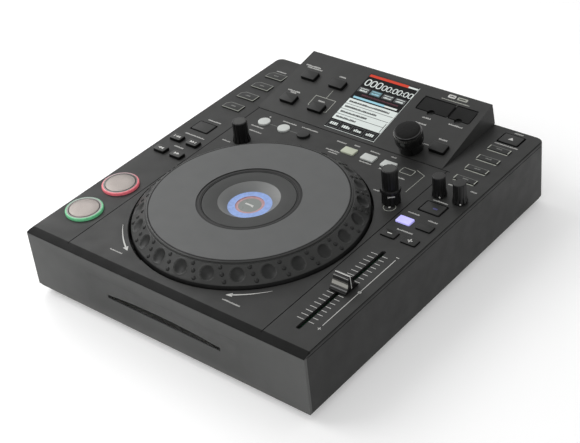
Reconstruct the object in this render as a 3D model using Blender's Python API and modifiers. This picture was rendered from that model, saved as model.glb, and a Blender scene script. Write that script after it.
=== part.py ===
"""A tabletop player for 12 cm discs, modelled as an assembly of separate parts.

Metres, +X to the right, +Y to the rear, +Z up. The origin is on the table, under
the middle of the body. Controls are placed from the front left corner of the deck.
"""
import math

import bmesh
import bpy
from mathutils import Matrix, Vector

# Mesh fineness: the reach of joined shapes into each other, the distance at which
# points merge, the sides of round shapes and the angle below which they shade smooth
MERGE_IN = 0.0004
MERGE = 0.000001
JOG_STEPS = 72
ROUND_STEPS = 24
SMALL_STEPS = 10
STUD_STEPS = 6
SMOOTH_ANGLE = math.radians(35)
FLAT_ANGLE = math.radians(1)

# Jog wheel and its well, which the body is laid out around
WELL_RADIUS = 0.1114
WELL_DEPTH = 0.0140
JOG_GAP = 0.0022
JOG_TOP_RISE = 0.0172
JOG_SKIRT_RISE = 0.0030
JOG_SKIRT_DROP = 0.0090
JOG_SHELL = 0.0045
JOG_PLATE_RADIUS = 0.0920
JOG_PLATE_THICKNESS = 0.0024
JOG_LIP = 0.0006
JOG_GROOVE_OUTER = 0.0490
JOG_GROOVE_INNER = 0.0436
JOG_GROOVE_DROP = 0.0010
JOG_BELL_WALL = 0.0025
JOG_WEB = 0.0024
JOG_INNER_WEB_DROP = 0.0020
JOG_HUB_WALL = 0.0045
JOG_HUB_RISE = 0.0020
JOG_HUB_DROP = 0.0110
POST_RADIUS = 0.0100
POST_FLANGE_RADIUS = 0.0220
DIMPLE_COUNT = 24
DIMPLE_RADIUS = 0.0068
DIMPLE_DEPTH = 0.0026
DIMPLE_TURN = math.radians(4.7)
STUD_RADIUS = 0.00125
STUD_RISE = 0.0007
STUD_PITCH = 0.0056
STUDS_IN_ROW = 3

# Fixed display in the middle of the jog wheel
LENS_WELL_RADIUS = 0.0287
LENS_RING_RADIUS = 0.0205
LENS_WELL_DROP = 0.0062
LENS_CORE_RADIUS = 0.0122
LENS_CORE_DROP = 0.0006
DISPLAY_CUP_DEPTH = 0.0135

# Body: left strip, jog bay and right strip side by side
LEFT_STRIP_WIDTH = 0.0483
RIGHT_STRIP_WIDTH = 0.0491
JOG_SIDE_MARGIN = 0.0024
JOG_FRONT_MARGIN = 0.0171
REAR_ROW_DEPTH = 0.0371
CONSOLE_RUN = 0.0920
BODY_HEIGHT = 0.0614
WALL = 0.0025
DECK_EDGE_RADIUS = 0.0012
REAR_CORNER_RADIUS = 0.0080
FRONT_SLOPE_RUN = 0.0083
FRONT_SLOPE_DROP = 0.0022
FRONT_LIP = 0.0005
SEAM_WIDTH = 0.0007
SEAM_DEPTH = 0.0006
SIDE_SEAM_DROP = 0.0034
GAP = 0.0003
OVERRUN = 0.0010

# Console on the rear of the deck
CONSOLE_LEFT_INSET = 0.0460
CONSOLE_RIGHT_INSET = 0.0550
CONSOLE_RISE = 0.0208
CONSOLE_DRAFT = 0.0026
CONSOLE_WALL = 0.0024
CONSOLE_SKIRT = 0.0039

# Front panel and disc slot
PANEL_THICKNESS = 0.0030
SLOT_HALF_WIDTH = 0.0670
SLOT_LIFT = 0.0001
SLOT_END_HEIGHT = 0.0038
SLOT_ARCH = 0.0037
SLOT_ARCH_STEPS = 12
RECESS_OUTER_HALF_WIDTH = 0.0955
RECESS_INNER_HALF_WIDTH = 0.0840
RECESS_OUTER_BOTTOM = 0.0060
RECESS_INNER_BOTTOM = 0.0140
RECESS_TOP = 0.0440
RECESS_TOP_BEVEL = 0.0030
RECESS_DEPTH = 0.0018

# Bottom tray and feet
TRAY_THICKNESS = 0.0022
TRAY_INSET = 0.0015
FOOT_RADIUS = 0.0125
FOOT_TIP_RADIUS = 0.0110
FOOT_HEIGHT = 0.0072
FOOT_SOCKET_RADIUS = 0.0040
FOOT_SOCKET_DEPTH = 0.0030
FOOT_INSET = 0.0340
VENT_COUNT = 9
VENT_LENGTH = 0.0400
VENT_WIDTH = 0.0030
VENT_PITCH = 0.0090
VENT_FROM_FRONT = 0.2600

# Keys
KEY_GAP = 0.0004
KEY_FLANGE = 0.0012
KEY_FLANGE_THICKNESS = 0.0012
KEY_STEM = 0.0030
KEY_CORNER = 0.0010
KEY_CROWN = 0.0005
KEY_TRAVEL = 0.0010
SWITCH_SIZE = 0.0060
SWITCH_HEIGHT = 0.0035
FLAT_SWITCH_HEIGHT = 0.0020
BOARD_THICKNESS = 0.0016
BOARD_DEPTH = 0.0114
BOARD_EDGE = 0.0050

# Left strip controls, front to rear
TRANSPORT_FRONT_MARGIN = 0.0333
TRANSPORT_RADIUS = 0.0145
TRANSPORT_RISE = 0.0042
TRANSPORT_DOME = 0.0010
TRANSPORT_TRAVEL = 0.0015
COLLAR_RADIUS = 0.0180
COLLAR_BAND = 0.0030
COLLAR_RISE = 0.0026
COLLAR_SPACING = 0.0120
CLUSTER_KEY = (0.0136, 0.0092)
CLUSTER_PITCH = 0.0212
CLUSTER_SHIFT = 0.0018
CLUSTER_ROW_GAP = 0.0144
CLUSTER_RISE = 0.0030
REVERSE_SETBACK = 0.0160
SQUARE_KEY = (0.0205, 0.0145)
SQUARE_RISE = 0.0008
SQUARE_BEZEL = 0.0015
BEZEL_DEPTH = 0.0005
HOT_SETBACK = 0.0314
HOT_REAR_MARGIN = 0.0299
HOT_KEY = (0.0220, 0.0113)
HOT_ROW_GAP = 0.0118
HOT_RISE = 0.0010
HOT_COUNT = 4
HOT_CUT = 0.0040

# Rear row on the deck
ROW_FROM_CONSOLE = 0.0197
LOOP_FROM_SEAM = 0.0226
LOOP_PITCH = 0.0250
LOOP_RADIUS = 0.0064
LOOP_RISE = 0.0018
EXIT_RISE = 0.0030
LOOP_DOME = 0.0008
MODE_FROM_HOLD = 0.0213
MODE_PITCH = 0.0231
MODE_KEY = (0.0150, 0.0096)
MODE_RISE = 0.0014
MODE_COUNT = 3
HOLD_FROM_SEAM = 0.0314
HOLD_KEY = (0.0125, 0.0072)
HOLD_RISE = 0.0006

# Right strip controls, front to rear
RIGHT_COLUMN_INSET = 0.0267
FADER_FRONT_MARGIN = 0.0256
FADER_SLOT_WIDTH = 0.0032
FADER_REST_OFFSET = 0.0020
TEMPO_SETBACK = 0.0183
TEMPO_KEY = (0.0150, 0.0095)
TEMPO_PITCH = 0.0216
TEMPO_ROW_GAP = 0.0138
TEMPO_RISE = 0.0014
JOG_MODE_SETBACK = 0.0148
TRIM_SETBACK = 0.0052
TRIM_PITCH = 0.0220
TRIM_SHIFT = 0.0036
SOURCE_SETBACK = 0.0210
SOURCE_KEY = (0.0225, 0.0070)
SOURCE_ROW_GAP = 0.0124
SOURCE_RISE = 0.0010
SOURCE_COUNT = 4
EJECT_SETBACK = 0.0086
EJECT_REAR_MARGIN = 0.0084

# Knobs
KNOB_FROM_WELL = 0.0158
START_KNOB_ANGLE = math.radians(134.2)
EFFECT_KNOB_ANGLE = math.radians(39.8)
KNOB_GAP = 0.0006
SHAFT_RADIUS = 0.0030
SHAFT_CLEARANCE = 0.0005
START_KNOB = (0.0074, 0.0088, 0.0224)
TRIM_KNOB = (0.0062, 0.0071, 0.0208)
EFFECT_KNOB = (0.0075, 0.0088, 0.0360)
EFFECT_COLLAR_RADIUS = 0.0097
EFFECT_COLLAR_HEIGHT = 0.0160
EFFECT_COLLAR_BAND = 0.0022
FLUTE_COUNT = 12
FLUTE_RADIUS = 0.0012
SKIRT_HEIGHT_SHARE = 0.28
POT_SIZE = 0.0095
POT_HEIGHT = 0.0062

# Fader cap
CAP_WIDTH = 0.0175
CAP_LENGTH = 0.0180
CAP_HEIGHT = 0.0145
CAP_FLOAT = 0.0008
CAP_STEM_WIDTH = 0.0016
CAP_STEM_LENGTH = 0.0060
CAP_FOOT_HEIGHT = 0.0030
CAP_RIDGE = 0.0016
CAP_SIDE_DRAFT = 0.0010
FADER_FRAME_WIDTH = 0.0095
FADER_FRAME_HEIGHT = 0.0070
FADER_FRAME_WALL = 0.0012
FADER_FRAME_MARGIN = 0.0050

# Console controls: places across from the console's left wall and up its slope
CONSOLE_KEY = (0.0170, 0.0115)
CONSOLE_KEY_RISE = 0.0034
CONSOLE_KEY_LEFT = 0.0243
CONSOLE_KEY_PITCH = 0.0355
CONSOLE_KEY_LOW = 0.0220
CONSOLE_KEY_ROW_PITCH = 0.0372
WINDOW_FROM_KEYS = 0.0142
WINDOW_RIGHT_MARGIN = 0.0120
WINDOW_LOW = 0.0037
WINDOW_HIGH_MARGIN = 0.0063
PANEL_FRAME = 0.0015
PANEL_DEPTH = 0.0045
CONSOLE_BOARD_DEPTH = 0.0095
CONSOLE_BOARD_EDGE = 0.0085
CONSOLE_BOARD_REAR_INSET = 0.0035
BACK_KEY_FROM_RIGHT = 0.0175
BACK_KEY_LOW = 0.0215
ENCODER_FROM_RIGHT = 0.0420
ENCODER_LOW = 0.0115
ENCODER_TOP_RADIUS = 0.0130
ENCODER_BELLY_RADIUS = 0.0140
ENCODER_NECK_RADIUS = 0.0120
ENCODER_HEIGHT = 0.0260
ENCODER_BELLY_HEIGHT = 0.0140
ENCODER_FLOAT = 0.0020
ENCODER_PUSH = 0.0008
ENCODER_BODY = 0.0120
ENCODER_BODY_HEIGHT = 0.0045
ENCODER_BORE_DEPTH = 0.0120
FLAP_HIGH_MARGIN = 0.0143
FLAP_HEIGHT = 0.0188
FLAP_THICKNESS = 0.0016
FLAP_SINK = 0.0003
FLAP_WELL_DEPTH = 0.0030
FLAPS_FROM_RIGHT = 0.0100
FLAP_SPACING = 0.0020
FLAP_WIDTHS = (0.0355, 0.0230)
FLAP_GAP = 0.0006
FLAP_NOTCH_RADIUS = 0.0040
FLAP_PIN_RADIUS = 0.0005
FLAP_PIN_LENGTH = 0.0012
FLAP_ROUND_STEPS = 6
PORT_WALL = 0.0018
PORT_SIZES = ((0.0240, 0.0024), (0.0132, 0.0056))
PORT_DEPTH = 0.0030
PORT_LOW = 0.0110

# Rear bay with the sockets
BAY_LEFT_INSET = 0.0300
BAY_RIGHT_INSET = 0.0300
BAY_BOTTOM = 0.0080
BAY_HEIGHT = 0.0330
BAY_DEPTH = 0.0110
JACK_RADIUS = 0.0042
JACK_HOLE_RADIUS = 0.0016
JACK_PROUD = 0.0080
JACK_CENTRE = 0.0165
JACK_BLOCK = (0.0120, 0.0140)
RCA_FROM_RIGHT = (0.0480, 0.0650, 0.0900)
REMOTE_FROM_RIGHT = 0.1080
REMOTE_RADIUS = 0.0033
USB_FROM_RIGHT = 0.1290
USB_SIZE = (0.0120, 0.0108)
USB_WALL = 0.0010
USB_TONGUE = 0.0040

# Boards, drive and power supply inside
STANDOFF_RADIUS = 0.0030
STANDOFF_HEIGHT = 0.0045
MAIN_BOARD_LEFT = 0.1400
MAIN_BOARD_RIGHT_INSET = 0.0100
MAIN_BOARD_FRONT = 0.1900
SUPPLY_LEFT = 0.0120
SUPPLY_WIDTH = 0.1050
SUPPLY_FRONT = 0.2300
INLET_FROM_LEFT = 0.0730
INLET_SIZE = (0.0280, 0.0225)
INLET_HOLLOW = (0.0244, 0.0168)
INLET_CUT = 0.0040
INLET_DEPTH = 0.0155
INLET_FLANGE = 0.0022
INLET_FLANGE_THICKNESS = 0.0020
INLET_CENTRE = 0.0245
INLET_PIN = (0.0020, 0.0040)
INLET_PIN_PITCH = 0.0070
INLET_PIN_SETBACK = 0.0020
INLET_EARTH_RISE = 0.0040
INLET_PIN_DROP = 0.0020
SWITCH_FROM_INLET = 0.0270
ROCKER_SIZE = (0.0100, 0.0190)
ROCKER_DEPTH = 0.0070
ROCKER_TILT = math.radians(8.0)
ROCKER_GAP = 0.0006
ROCKER_FRAME = 0.0020
DRIVE_WIDTH = 0.1460
DRIVE_LENGTH = 0.1650
DRIVE_BOTTOM = 0.0120
DRIVE_HEADROOM = 0.0089
DRIVE_FRONT = 0.0040
DRIVE_CAVITY_HALF_WIDTH = 0.0640
DRIVE_CAVITY_LENGTH = 0.1340
DRIVE_CAVITY_HEIGHT = 0.0052
SPINDLE_MOTOR_RADIUS = 0.0180
SPINDLE_MOTOR_DROP = 0.0060
TRANSFORMER = (0.0360, 0.0300, 0.0280)
CAPACITOR_RADIUS = 0.0080
CAPACITOR_HEIGHT = 0.0260
HEATSINK = (0.0500, 0.0030, 0.0250)
BOSS_RADIUS = 0.0022
BOSS_INSET = 0.0075
BOSS_MARGIN = 0.0030

# Values worked out from the sizes above
BODY_WIDTH = LEFT_STRIP_WIDTH + 2 * (WELL_RADIUS + JOG_SIDE_MARGIN) + RIGHT_STRIP_WIDTH
BODY_DEPTH = JOG_FRONT_MARGIN + 2 * WELL_RADIUS + REAR_ROW_DEPTH + CONSOLE_RUN
EDGE_HEIGHT = FOOT_HEIGHT + GAP + TRAY_THICKNESS + GAP
DECK = EDGE_HEIGHT + BODY_HEIGHT
DECK_THICKNESS = FRONT_SLOPE_DROP + FRONT_LIP
JOG_X = LEFT_STRIP_WIDTH + JOG_SIDE_MARGIN + WELL_RADIUS
JOG_Y = JOG_FRONT_MARGIN + WELL_RADIUS
CREASE = BODY_DEPTH - CONSOLE_RUN
SLOPE = math.atan2(CONSOLE_RISE, CONSOLE_RUN)
SLOPE_LENGTH = math.hypot(CONSOLE_RISE, CONSOLE_RUN)
CONSOLE_LEFT = CONSOLE_LEFT_INSET
CONSOLE_RIGHT = BODY_WIDTH - CONSOLE_RIGHT_INSET
KEY_FLANGE_TOP = DECK_THICKNESS + GAP
KEY_STEM_END = BOARD_DEPTH - SWITCH_HEIGHT - KEY_TRAVEL - GAP
CONSOLE_STEM_END = CONSOLE_BOARD_DEPTH - FLAT_SWITCH_HEIGHT - KEY_TRAVEL - GAP
RIGHT_COLUMN = BODY_WIDTH - RIGHT_COLUMN_INSET
LEFT_COLUMN = LEFT_STRIP_WIDTH / 2
CLUSTER_X = LEFT_COLUMN + CLUSTER_SHIFT
REAR_ROW = CREASE - ROW_FROM_CONSOLE
HOLD_X = BODY_WIDTH - RIGHT_STRIP_WIDTH - HOLD_FROM_SEAM
RIM_RADIUS = WELL_RADIUS - JOG_GAP
CUP_RADIUS = JOG_GROOVE_INNER - GAP
CUP_TOP = JOG_TOP_RISE - JOG_GROOVE_DROP
CUP_BOTTOM = CUP_TOP - DISPLAY_CUP_DEPTH
BAY_WALL = BODY_DEPTH - BAY_DEPTH
MAIN_BOARD_RIGHT = BODY_WIDTH - MAIN_BOARD_RIGHT_INSET
LOW_BOARDS_REAR = BAY_WALL - WALL - GAP
LOW_BOARDS_TOP = STANDOFF_HEIGHT + BOARD_THICKNESS
INLET_FACE = BAY_WALL + GAP + INLET_FLANGE_THICKNESS
ROCKER_X = INLET_FROM_LEFT - SWITCH_FROM_INLET
CONSOLE_WIDTH = CONSOLE_RIGHT - CONSOLE_LEFT
BACK_KEY_LEFT = CONSOLE_WIDTH - BACK_KEY_FROM_RIGHT
ENCODER_LEFT = CONSOLE_WIDTH - ENCODER_FROM_RIGHT
FLAP_LOW = SLOPE_LENGTH - FLAP_HIGH_MARGIN - FLAP_HEIGHT
USB_FLAP_LEFT = CONSOLE_WIDTH - FLAPS_FROM_RIGHT - FLAP_WIDTHS[1]
FLAP_LEFTS = (USB_FLAP_LEFT - FLAP_SPACING - FLAP_WIDTHS[0], USB_FLAP_LEFT)
WINDOW_LEFT = CONSOLE_KEY_LEFT + CONSOLE_KEY_PITCH + CONSOLE_KEY[0] / 2 + WINDOW_FROM_KEYS
WINDOW_WIDTH = FLAP_LEFTS[0] - WINDOW_RIGHT_MARGIN - WINDOW_LEFT
WINDOW_HEIGHT = SLOPE_LENGTH - WINDOW_LOW - WINDOW_HIGH_MARGIN
CONSOLE_BOARD_REAR = WINDOW_LOW + WINDOW_HEIGHT - CONSOLE_BOARD_REAR_INSET
DRIVE_TOP = BODY_HEIGHT - WELL_DEPTH - WALL - DRIVE_HEADROOM
SLOT_BOTTOM = (DRIVE_BOTTOM + DRIVE_TOP - DRIVE_CAVITY_HEIGHT) / 2 + SLOT_LIFT
SQUARE_HOLE = tuple(side + 2 * SQUARE_BEZEL for side in SQUARE_KEY)


def rows(start, sizes_and_gaps):
    """Centre lines of controls laid front to rear, each after its gap."""
    centres = []
    edge = start
    for gap, size in sizes_and_gaps:
        centres.append(edge + gap + size / 2)
        edge = edge + gap + size
    return centres


def rows_up_to(end, sizes_and_gaps):
    """The same, laid so that the last control ends at a line."""
    return rows(end - sum(gap + size for gap, size in sizes_and_gaps), sizes_and_gaps)


PLAY_Y, CUE_Y = rows(0, [
    (TRANSPORT_FRONT_MARGIN, 2 * COLLAR_RADIUS),
    (COLLAR_SPACING, 2 * COLLAR_RADIUS),
])
LEFT_ROWS = rows_up_to(BODY_DEPTH - HOT_REAR_MARGIN, [
    (0, CLUSTER_KEY[1]),
    (CLUSTER_ROW_GAP, CLUSTER_KEY[1]),
    (REVERSE_SETBACK, SQUARE_HOLE[1]),
    (HOT_SETBACK, HOT_KEY[1]),
] + [(HOT_ROW_GAP, HOT_KEY[1])] * (HOT_COUNT - 1))
SEARCH_Y, TRACK_Y, REVERSE_Y = LEFT_ROWS[:3]
HOT_YS = LEFT_ROWS[3:]

RIGHT_ROWS = rows_up_to(BODY_DEPTH - EJECT_REAR_MARGIN, [
    (0, TEMPO_KEY[1]),
    (TEMPO_ROW_GAP, TEMPO_KEY[1]),
    (JOG_MODE_SETBACK, SQUARE_HOLE[1]),
    (TRIM_SETBACK, 2 * TRIM_KNOB[1]),
    (SOURCE_SETBACK, SOURCE_KEY[1]),
] + [(SOURCE_ROW_GAP, SOURCE_KEY[1])] * (SOURCE_COUNT - 1) + [(EJECT_SETBACK, SQUARE_HOLE[1])])
TEMPO_Y, LOCK_Y, JOG_MODE_Y, TRIM_Y = RIGHT_ROWS[:4]
SOURCE_YS = RIGHT_ROWS[4:4 + SOURCE_COUNT]
EJECT_Y = RIGHT_ROWS[-1]
FADER_SLOT_LENGTH = TEMPO_Y - TEMPO_KEY[1] / 2 - TEMPO_SETBACK - FADER_FRONT_MARGIN
FADER_Y = FADER_FRONT_MARGIN + FADER_SLOT_LENGTH / 2 + FADER_REST_OFFSET


# Scene and collections

def clear_scene():
    for item in list(bpy.data.objects):
        bpy.data.objects.remove(item, do_unlink=True)


def new_collection(name, parent):
    group = bpy.data.collections.new(name)
    parent.children.link(group)
    return group


clear_scene()
BENCH = bpy.data.scenes.new("bench")
PARTS = new_collection("tabletop_disc_player", bpy.context.scene.collection)
CUTTERS = new_collection("cutters", bpy.context.scene.collection)


# Modelling helpers

def place(name, mesh, group=None, location=(0, 0, 0), matrix=None):
    """An object for a mesh; pieces that only cut or join others go with the cutters."""
    item = bpy.data.objects.new(name, mesh)
    item.location = location
    if matrix is not None:
        item.matrix_world = matrix
    (group or CUTTERS).objects.link(item)
    if group is None:
        item.hide_render = True
        item.display_type = "WIRE"
    return item


def bake(item):
    """The finished mesh of an object, worked out in a scene of its own; the object goes."""
    BENCH.collection.objects.link(item)
    layer = BENCH.view_layers[0]
    layer.update()
    mesh = bpy.data.meshes.new_from_object(item.evaluated_get(layer.depsgraph))
    mesh.transform(item.matrix_world)
    bpy.data.objects.remove(item, do_unlink=True)
    bm = bmesh.new()
    bm.from_mesh(mesh)
    bmesh.ops.remove_doubles(bm, verts=bm.verts, dist=MERGE)
    bm.to_mesh(mesh)
    bm.free()
    return mesh


def bevel_edges(bm, chosen, radius, steps):
    edges = [edge for edge in bm.edges if chosen(*(vert.co for vert in edge.verts))]
    bmesh.ops.bevel(bm, geom=edges, offset=radius, segments=steps, profile=0.5, affect="EDGES")


def upright(a, b):
    return abs(a.x - b.x) < MERGE and abs(a.y - b.y) < MERGE


def block(low, high, corner=0, crown=0, corner_steps=2):
    """A box between two corners, with round uprights and a softened top rim."""
    low = Vector(low)
    high = Vector(high)
    bm = bmesh.new()
    bmesh.ops.create_cube(bm, size=1)
    bmesh.ops.scale(bm, vec=high - low, verts=bm.verts)
    bmesh.ops.translate(bm, vec=(high + low) / 2, verts=bm.verts)
    if corner:
        bevel_edges(bm, upright, corner, corner_steps)
    if crown:
        bevel_edges(bm, lambda a, b: min(a.z, b.z) > high.z - MERGE, crown, 1)
    mesh = bpy.data.meshes.new("block")
    bm.to_mesh(mesh)
    bm.free()
    return mesh


def centred_block(width, depth, low, high, corner=0, crown=0):
    return block((-width / 2, -depth / 2, low), (width / 2, depth / 2, high), corner, crown)


def plate(points, low, high, matrix=Matrix()):
    """A flat outline, drawn in its own XY plane and thickened from low to high."""
    curve = bpy.data.curves.new("outline", "CURVE")
    curve.dimensions = "2D"
    curve.fill_mode = "BOTH"
    curve.extrude = (high - low) / 2
    spline = curve.splines.new("POLY")
    spline.points.add(len(points) - 1)
    for point, (x, y) in zip(spline.points, points):
        point.co = (x, y, 0, 1)
    spline.use_cyclic_u = True
    item = bpy.data.objects.new("outline", curve)
    CUTTERS.objects.link(item)
    item.matrix_world = matrix @ Matrix.Translation((0, 0, (low + high) / 2))
    return bake(item)


SIDE_VIEW = Matrix(((0, 0, 1, 0), (1, 0, 0, 0), (0, 1, 0, 0), (0, 0, 0, 1)))
FRONT_VIEW = Matrix(((1, 0, 0, 0), (0, 0, -1, 0), (0, 1, 0, 0), (0, 0, 0, 1)))


def turned(profile, steps, closed=False):
    """A profile of (radius, height) points, run down its outer side, spun round Z."""
    mesh = bpy.data.meshes.new("profile")
    edges = [(i, i + 1) for i in range(len(profile) - 1)]
    if closed:
        edges.append((len(profile) - 1, 0))
    mesh.from_pydata([(radius, 0, height) for radius, height in profile], edges, [])
    item = bpy.data.objects.new("profile", mesh)
    CUTTERS.objects.link(item)
    screw = item.modifiers.new("spin", "SCREW")
    screw.steps = steps
    screw.render_steps = steps
    screw.use_merge_vertices = True
    screw.merge_threshold = MERGE
    return bake(item)


def rod(radius, low, high, steps=SMALL_STEPS):
    return turned([(0, high), (radius, high), (radius, low), (0, low)], steps)


def many(mesh, matrices):
    """One mesh that holds a copy of another at each matrix."""
    bm = bmesh.new()
    for matrix in matrices:
        copy = mesh.copy()
        copy.transform(matrix)
        bm.from_mesh(copy)
        bpy.data.meshes.remove(copy)
    result = bpy.data.meshes.new("copies")
    bm.to_mesh(result)
    bm.free()
    return result


def combine(item, operation, meshes):
    """Cut meshes from an object or join them to it, all in one Boolean."""
    group = new_collection(operation + " " + item.name, CUTTERS)
    for mesh in meshes:
        tool = place("tool", mesh)
        CUTTERS.objects.unlink(tool)
        group.objects.link(tool)
    boolean = item.modifiers.new(operation, "BOOLEAN")
    boolean.operation = {"cut": "DIFFERENCE", "join": "UNION"}[operation]
    boolean.operand_type = "COLLECTION"
    boolean.collection = group
    boolean.solver = "EXACT"


def cut(item, *meshes):
    combine(item, "cut", meshes)


def join(item, *meshes):
    combine(item, "join", meshes)


def moved(mesh, offset):
    copy = mesh.copy()
    copy.transform(Matrix.Translation(offset))
    return copy


def merged(mesh, joined=(), removed=()):
    """A mesh with others joined to it and cut from it."""
    item = place("work", mesh)
    if joined:
        join(item, *joined)
    if removed:
        cut(item, *removed)
    groups = [modifier.collection for modifier in item.modifiers]
    result = bake(item)
    for group in groups:
        for tool in list(group.objects):
            bpy.data.objects.remove(tool, do_unlink=True)
        bpy.data.collections.remove(group)
    return result


def at(from_left, from_front, above_deck=0):
    """A place on the deck, measured from its front left corner."""
    return Vector((from_left - BODY_WIDTH / 2, from_front - BODY_DEPTH / 2, DECK + above_deck))


def inside(from_left, from_front, above_edge):
    """A place measured from the body's front left lower corner."""
    return at(from_left, from_front, above_edge - BODY_HEIGHT)


# Materials

def material(name, colour, roughness, metallic=0):
    paint = bpy.data.materials.new(name)
    paint.use_nodes = True
    shader = paint.node_tree.nodes["Principled BSDF"]
    shader.inputs["Base Color"].default_value = (*colour, 1)
    shader.inputs["Roughness"].default_value = roughness
    shader.inputs["Metallic"].default_value = metallic
    return paint


DECK_PLASTIC = material("deck_plastic", (0.065, 0.067, 0.066), 0.55)
PANEL_PLASTIC = material("panel_plastic", (0.105, 0.107, 0.106), 0.5)
TRAY_STEEL = material("tray_steel", (0.02, 0.02, 0.02), 0.6, 0.4)
CONSOLE_PLASTIC = material("console_plastic", (0.055, 0.057, 0.056), 0.5)
FOOT_RUBBER = material("foot_rubber", (0.015, 0.015, 0.015), 0.9)
KEY_PLASTIC = material("key_plastic", (0.022, 0.024, 0.022), 0.45)
FLUSH_PLASTIC = material("flush_key_plastic", (0.05, 0.053, 0.05), 0.5)
WHITE_KEY = material("white_key", (0.62, 0.64, 0.62), 0.4)
LILAC_KEY = material("lilac_key", (0.55, 0.55, 0.85), 0.4)
BRUSHED_METAL = material("brushed_metal", (0.55, 0.5, 0.49), 0.35, 1)
KNOB_RUBBER = material("knob_rubber", (0.012, 0.012, 0.012), 0.5)
JOG_RUBBER = material("jog_rubber", (0.06, 0.06, 0.058), 0.55)
JOG_DISC = material("jog_disc", (0.145, 0.15, 0.148), 0.5)
LENS = material("display_lens", (0.2, 0.3, 0.7), 0.2)
SCREEN_GLASS = material("screen_glass", (0.02, 0.02, 0.02), 0.1)
STEEL = material("steel", (0.5, 0.5, 0.5), 0.35, 1)
BOARD_GREEN = material("board_green", (0.02, 0.12, 0.05), 0.5)


def part(name, mesh, paint, location=(0, 0, 0), parent=None, smooth=False):
    """A finished sub-part of the player in its own named object."""
    mesh.materials.clear()
    mesh.materials.append(paint)
    item = place(name, mesh, PARTS, location)
    if parent is not None:
        item.parent = parent
    if smooth:
        mesh.shade_smooth()
        mesh.set_sharp_from_angle(angle=SMOOTH_ANGLE)
    return item


def console_frame():
    """An empty at the foot of the console's left wall, with Y up the slope."""
    frame = bpy.data.objects.new("console_frame", None)
    frame.location = at(CONSOLE_LEFT, CREASE)
    frame.rotation_euler.x = SLOPE
    PARTS.objects.link(frame)
    bpy.context.view_layer.update()
    return frame


CONSOLE = console_frame()


def tilted(mesh):
    """A mesh drawn in the console's frame, moved into the world."""
    copy = mesh.copy()
    copy.transform(CONSOLE.matrix_world)
    return copy


# Keys

def key_mesh(size, rise, flange_top=KEY_FLANGE_TOP, stem_end=KEY_STEM_END, corner=KEY_CORNER):
    """A key cap with the flange that keeps it in its hole and the stem on its switch."""
    width, depth = size
    flange_low = -flange_top - KEY_FLANGE_THICKNESS
    cap = centred_block(width, depth, -flange_top - MERGE_IN, rise, corner, KEY_CROWN)
    flange = centred_block(width + 2 * KEY_FLANGE, depth + 2 * KEY_FLANGE, flange_low, -flange_top)
    stem = centred_block(KEY_STEM, KEY_STEM, -stem_end, flange_low + MERGE_IN)
    return merged(cap, joined=(flange, stem))


def round_key_mesh(radius, rise, dome, travel_stem=KEY_STEM_END, steps=ROUND_STEPS):
    flange = radius + KEY_FLANGE
    flange_low = -KEY_FLANGE_TOP - KEY_FLANGE_THICKNESS
    stem = KEY_STEM / 2
    return turned([
        (0, rise), (radius - 2 * dome, rise - dome / 3), (radius, rise - dome),
        (radius, -KEY_FLANGE_TOP), (flange, -KEY_FLANGE_TOP), (flange, flange_low),
        (stem, flange_low), (stem, -travel_stem), (0, -travel_stem),
    ], steps)


def hot_outline(grow=0):
    """The outline of a hot key: a rectangle without its rear left corner."""
    x = HOT_KEY[0] / 2 + grow
    y = HOT_KEY[1] / 2 + grow
    return [(-x, -y), (x, -y), (x, y), (-x + HOT_CUT, y), (-x, y - HOT_CUT)]


def hot_key_mesh():
    flange_low = -KEY_FLANGE_TOP - KEY_FLANGE_THICKNESS
    cap = plate(hot_outline(), -KEY_FLANGE_TOP - MERGE_IN, HOT_RISE)
    flange = plate(hot_outline(KEY_FLANGE), flange_low, -KEY_FLANGE_TOP)
    stem = centred_block(KEY_STEM, KEY_STEM, -KEY_STEM_END, flange_low + MERGE_IN)
    return merged(cap, joined=(flange, stem))


def key_hole(size, low, high, corner=KEY_CORNER):
    return centred_block(size[0] + 2 * KEY_GAP, size[1] + 2 * KEY_GAP, low, high, corner + KEY_GAP)


def deck_keys():
    """Every square or flat key on the deck: name, kind, place."""
    keys = [
        ("search_back_key", "cluster", CLUSTER_X - CLUSTER_PITCH / 2, SEARCH_Y),
        ("search_forward_key", "cluster", CLUSTER_X + CLUSTER_PITCH / 2, SEARCH_Y),
        ("track_back_key", "cluster", CLUSTER_X - CLUSTER_PITCH / 2, TRACK_Y),
        ("track_forward_key", "cluster", CLUSTER_X + CLUSTER_PITCH / 2, TRACK_Y),
        ("reverse_key", "square", LEFT_COLUMN, REVERSE_Y),
        ("jog_mode_key", "square", RIGHT_COLUMN, JOG_MODE_Y),
        ("eject_key", "square", RIGHT_COLUMN, EJECT_Y),
        ("tempo_down_key", "tempo", RIGHT_COLUMN - TEMPO_PITCH / 2, TEMPO_Y),
        ("tempo_up_key", "tempo", RIGHT_COLUMN + TEMPO_PITCH / 2, TEMPO_Y),
        ("tempo_lock_key", "tempo", RIGHT_COLUMN - TEMPO_PITCH / 2, LOCK_Y),
        ("tempo_range_key", "tempo", RIGHT_COLUMN + TEMPO_PITCH / 2, LOCK_Y),
        ("hold_key", "hold", HOLD_X, REAR_ROW),
    ]
    for number, y in enumerate(HOT_YS, start=1):
        keys.append((f"hot_key_{number}", "hot", LEFT_COLUMN, y))
    for number, y in enumerate(SOURCE_YS, start=1):
        keys.append((f"source_key_{number}", "source", RIGHT_COLUMN, y))
    for number in range(MODE_COUNT):
        x = HOLD_X - MODE_FROM_HOLD - MODE_PITCH * (MODE_COUNT - 1 - number)
        keys.append((f"mode_key_{number + 1}", "mode", x, REAR_ROW))
    return keys


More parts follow.
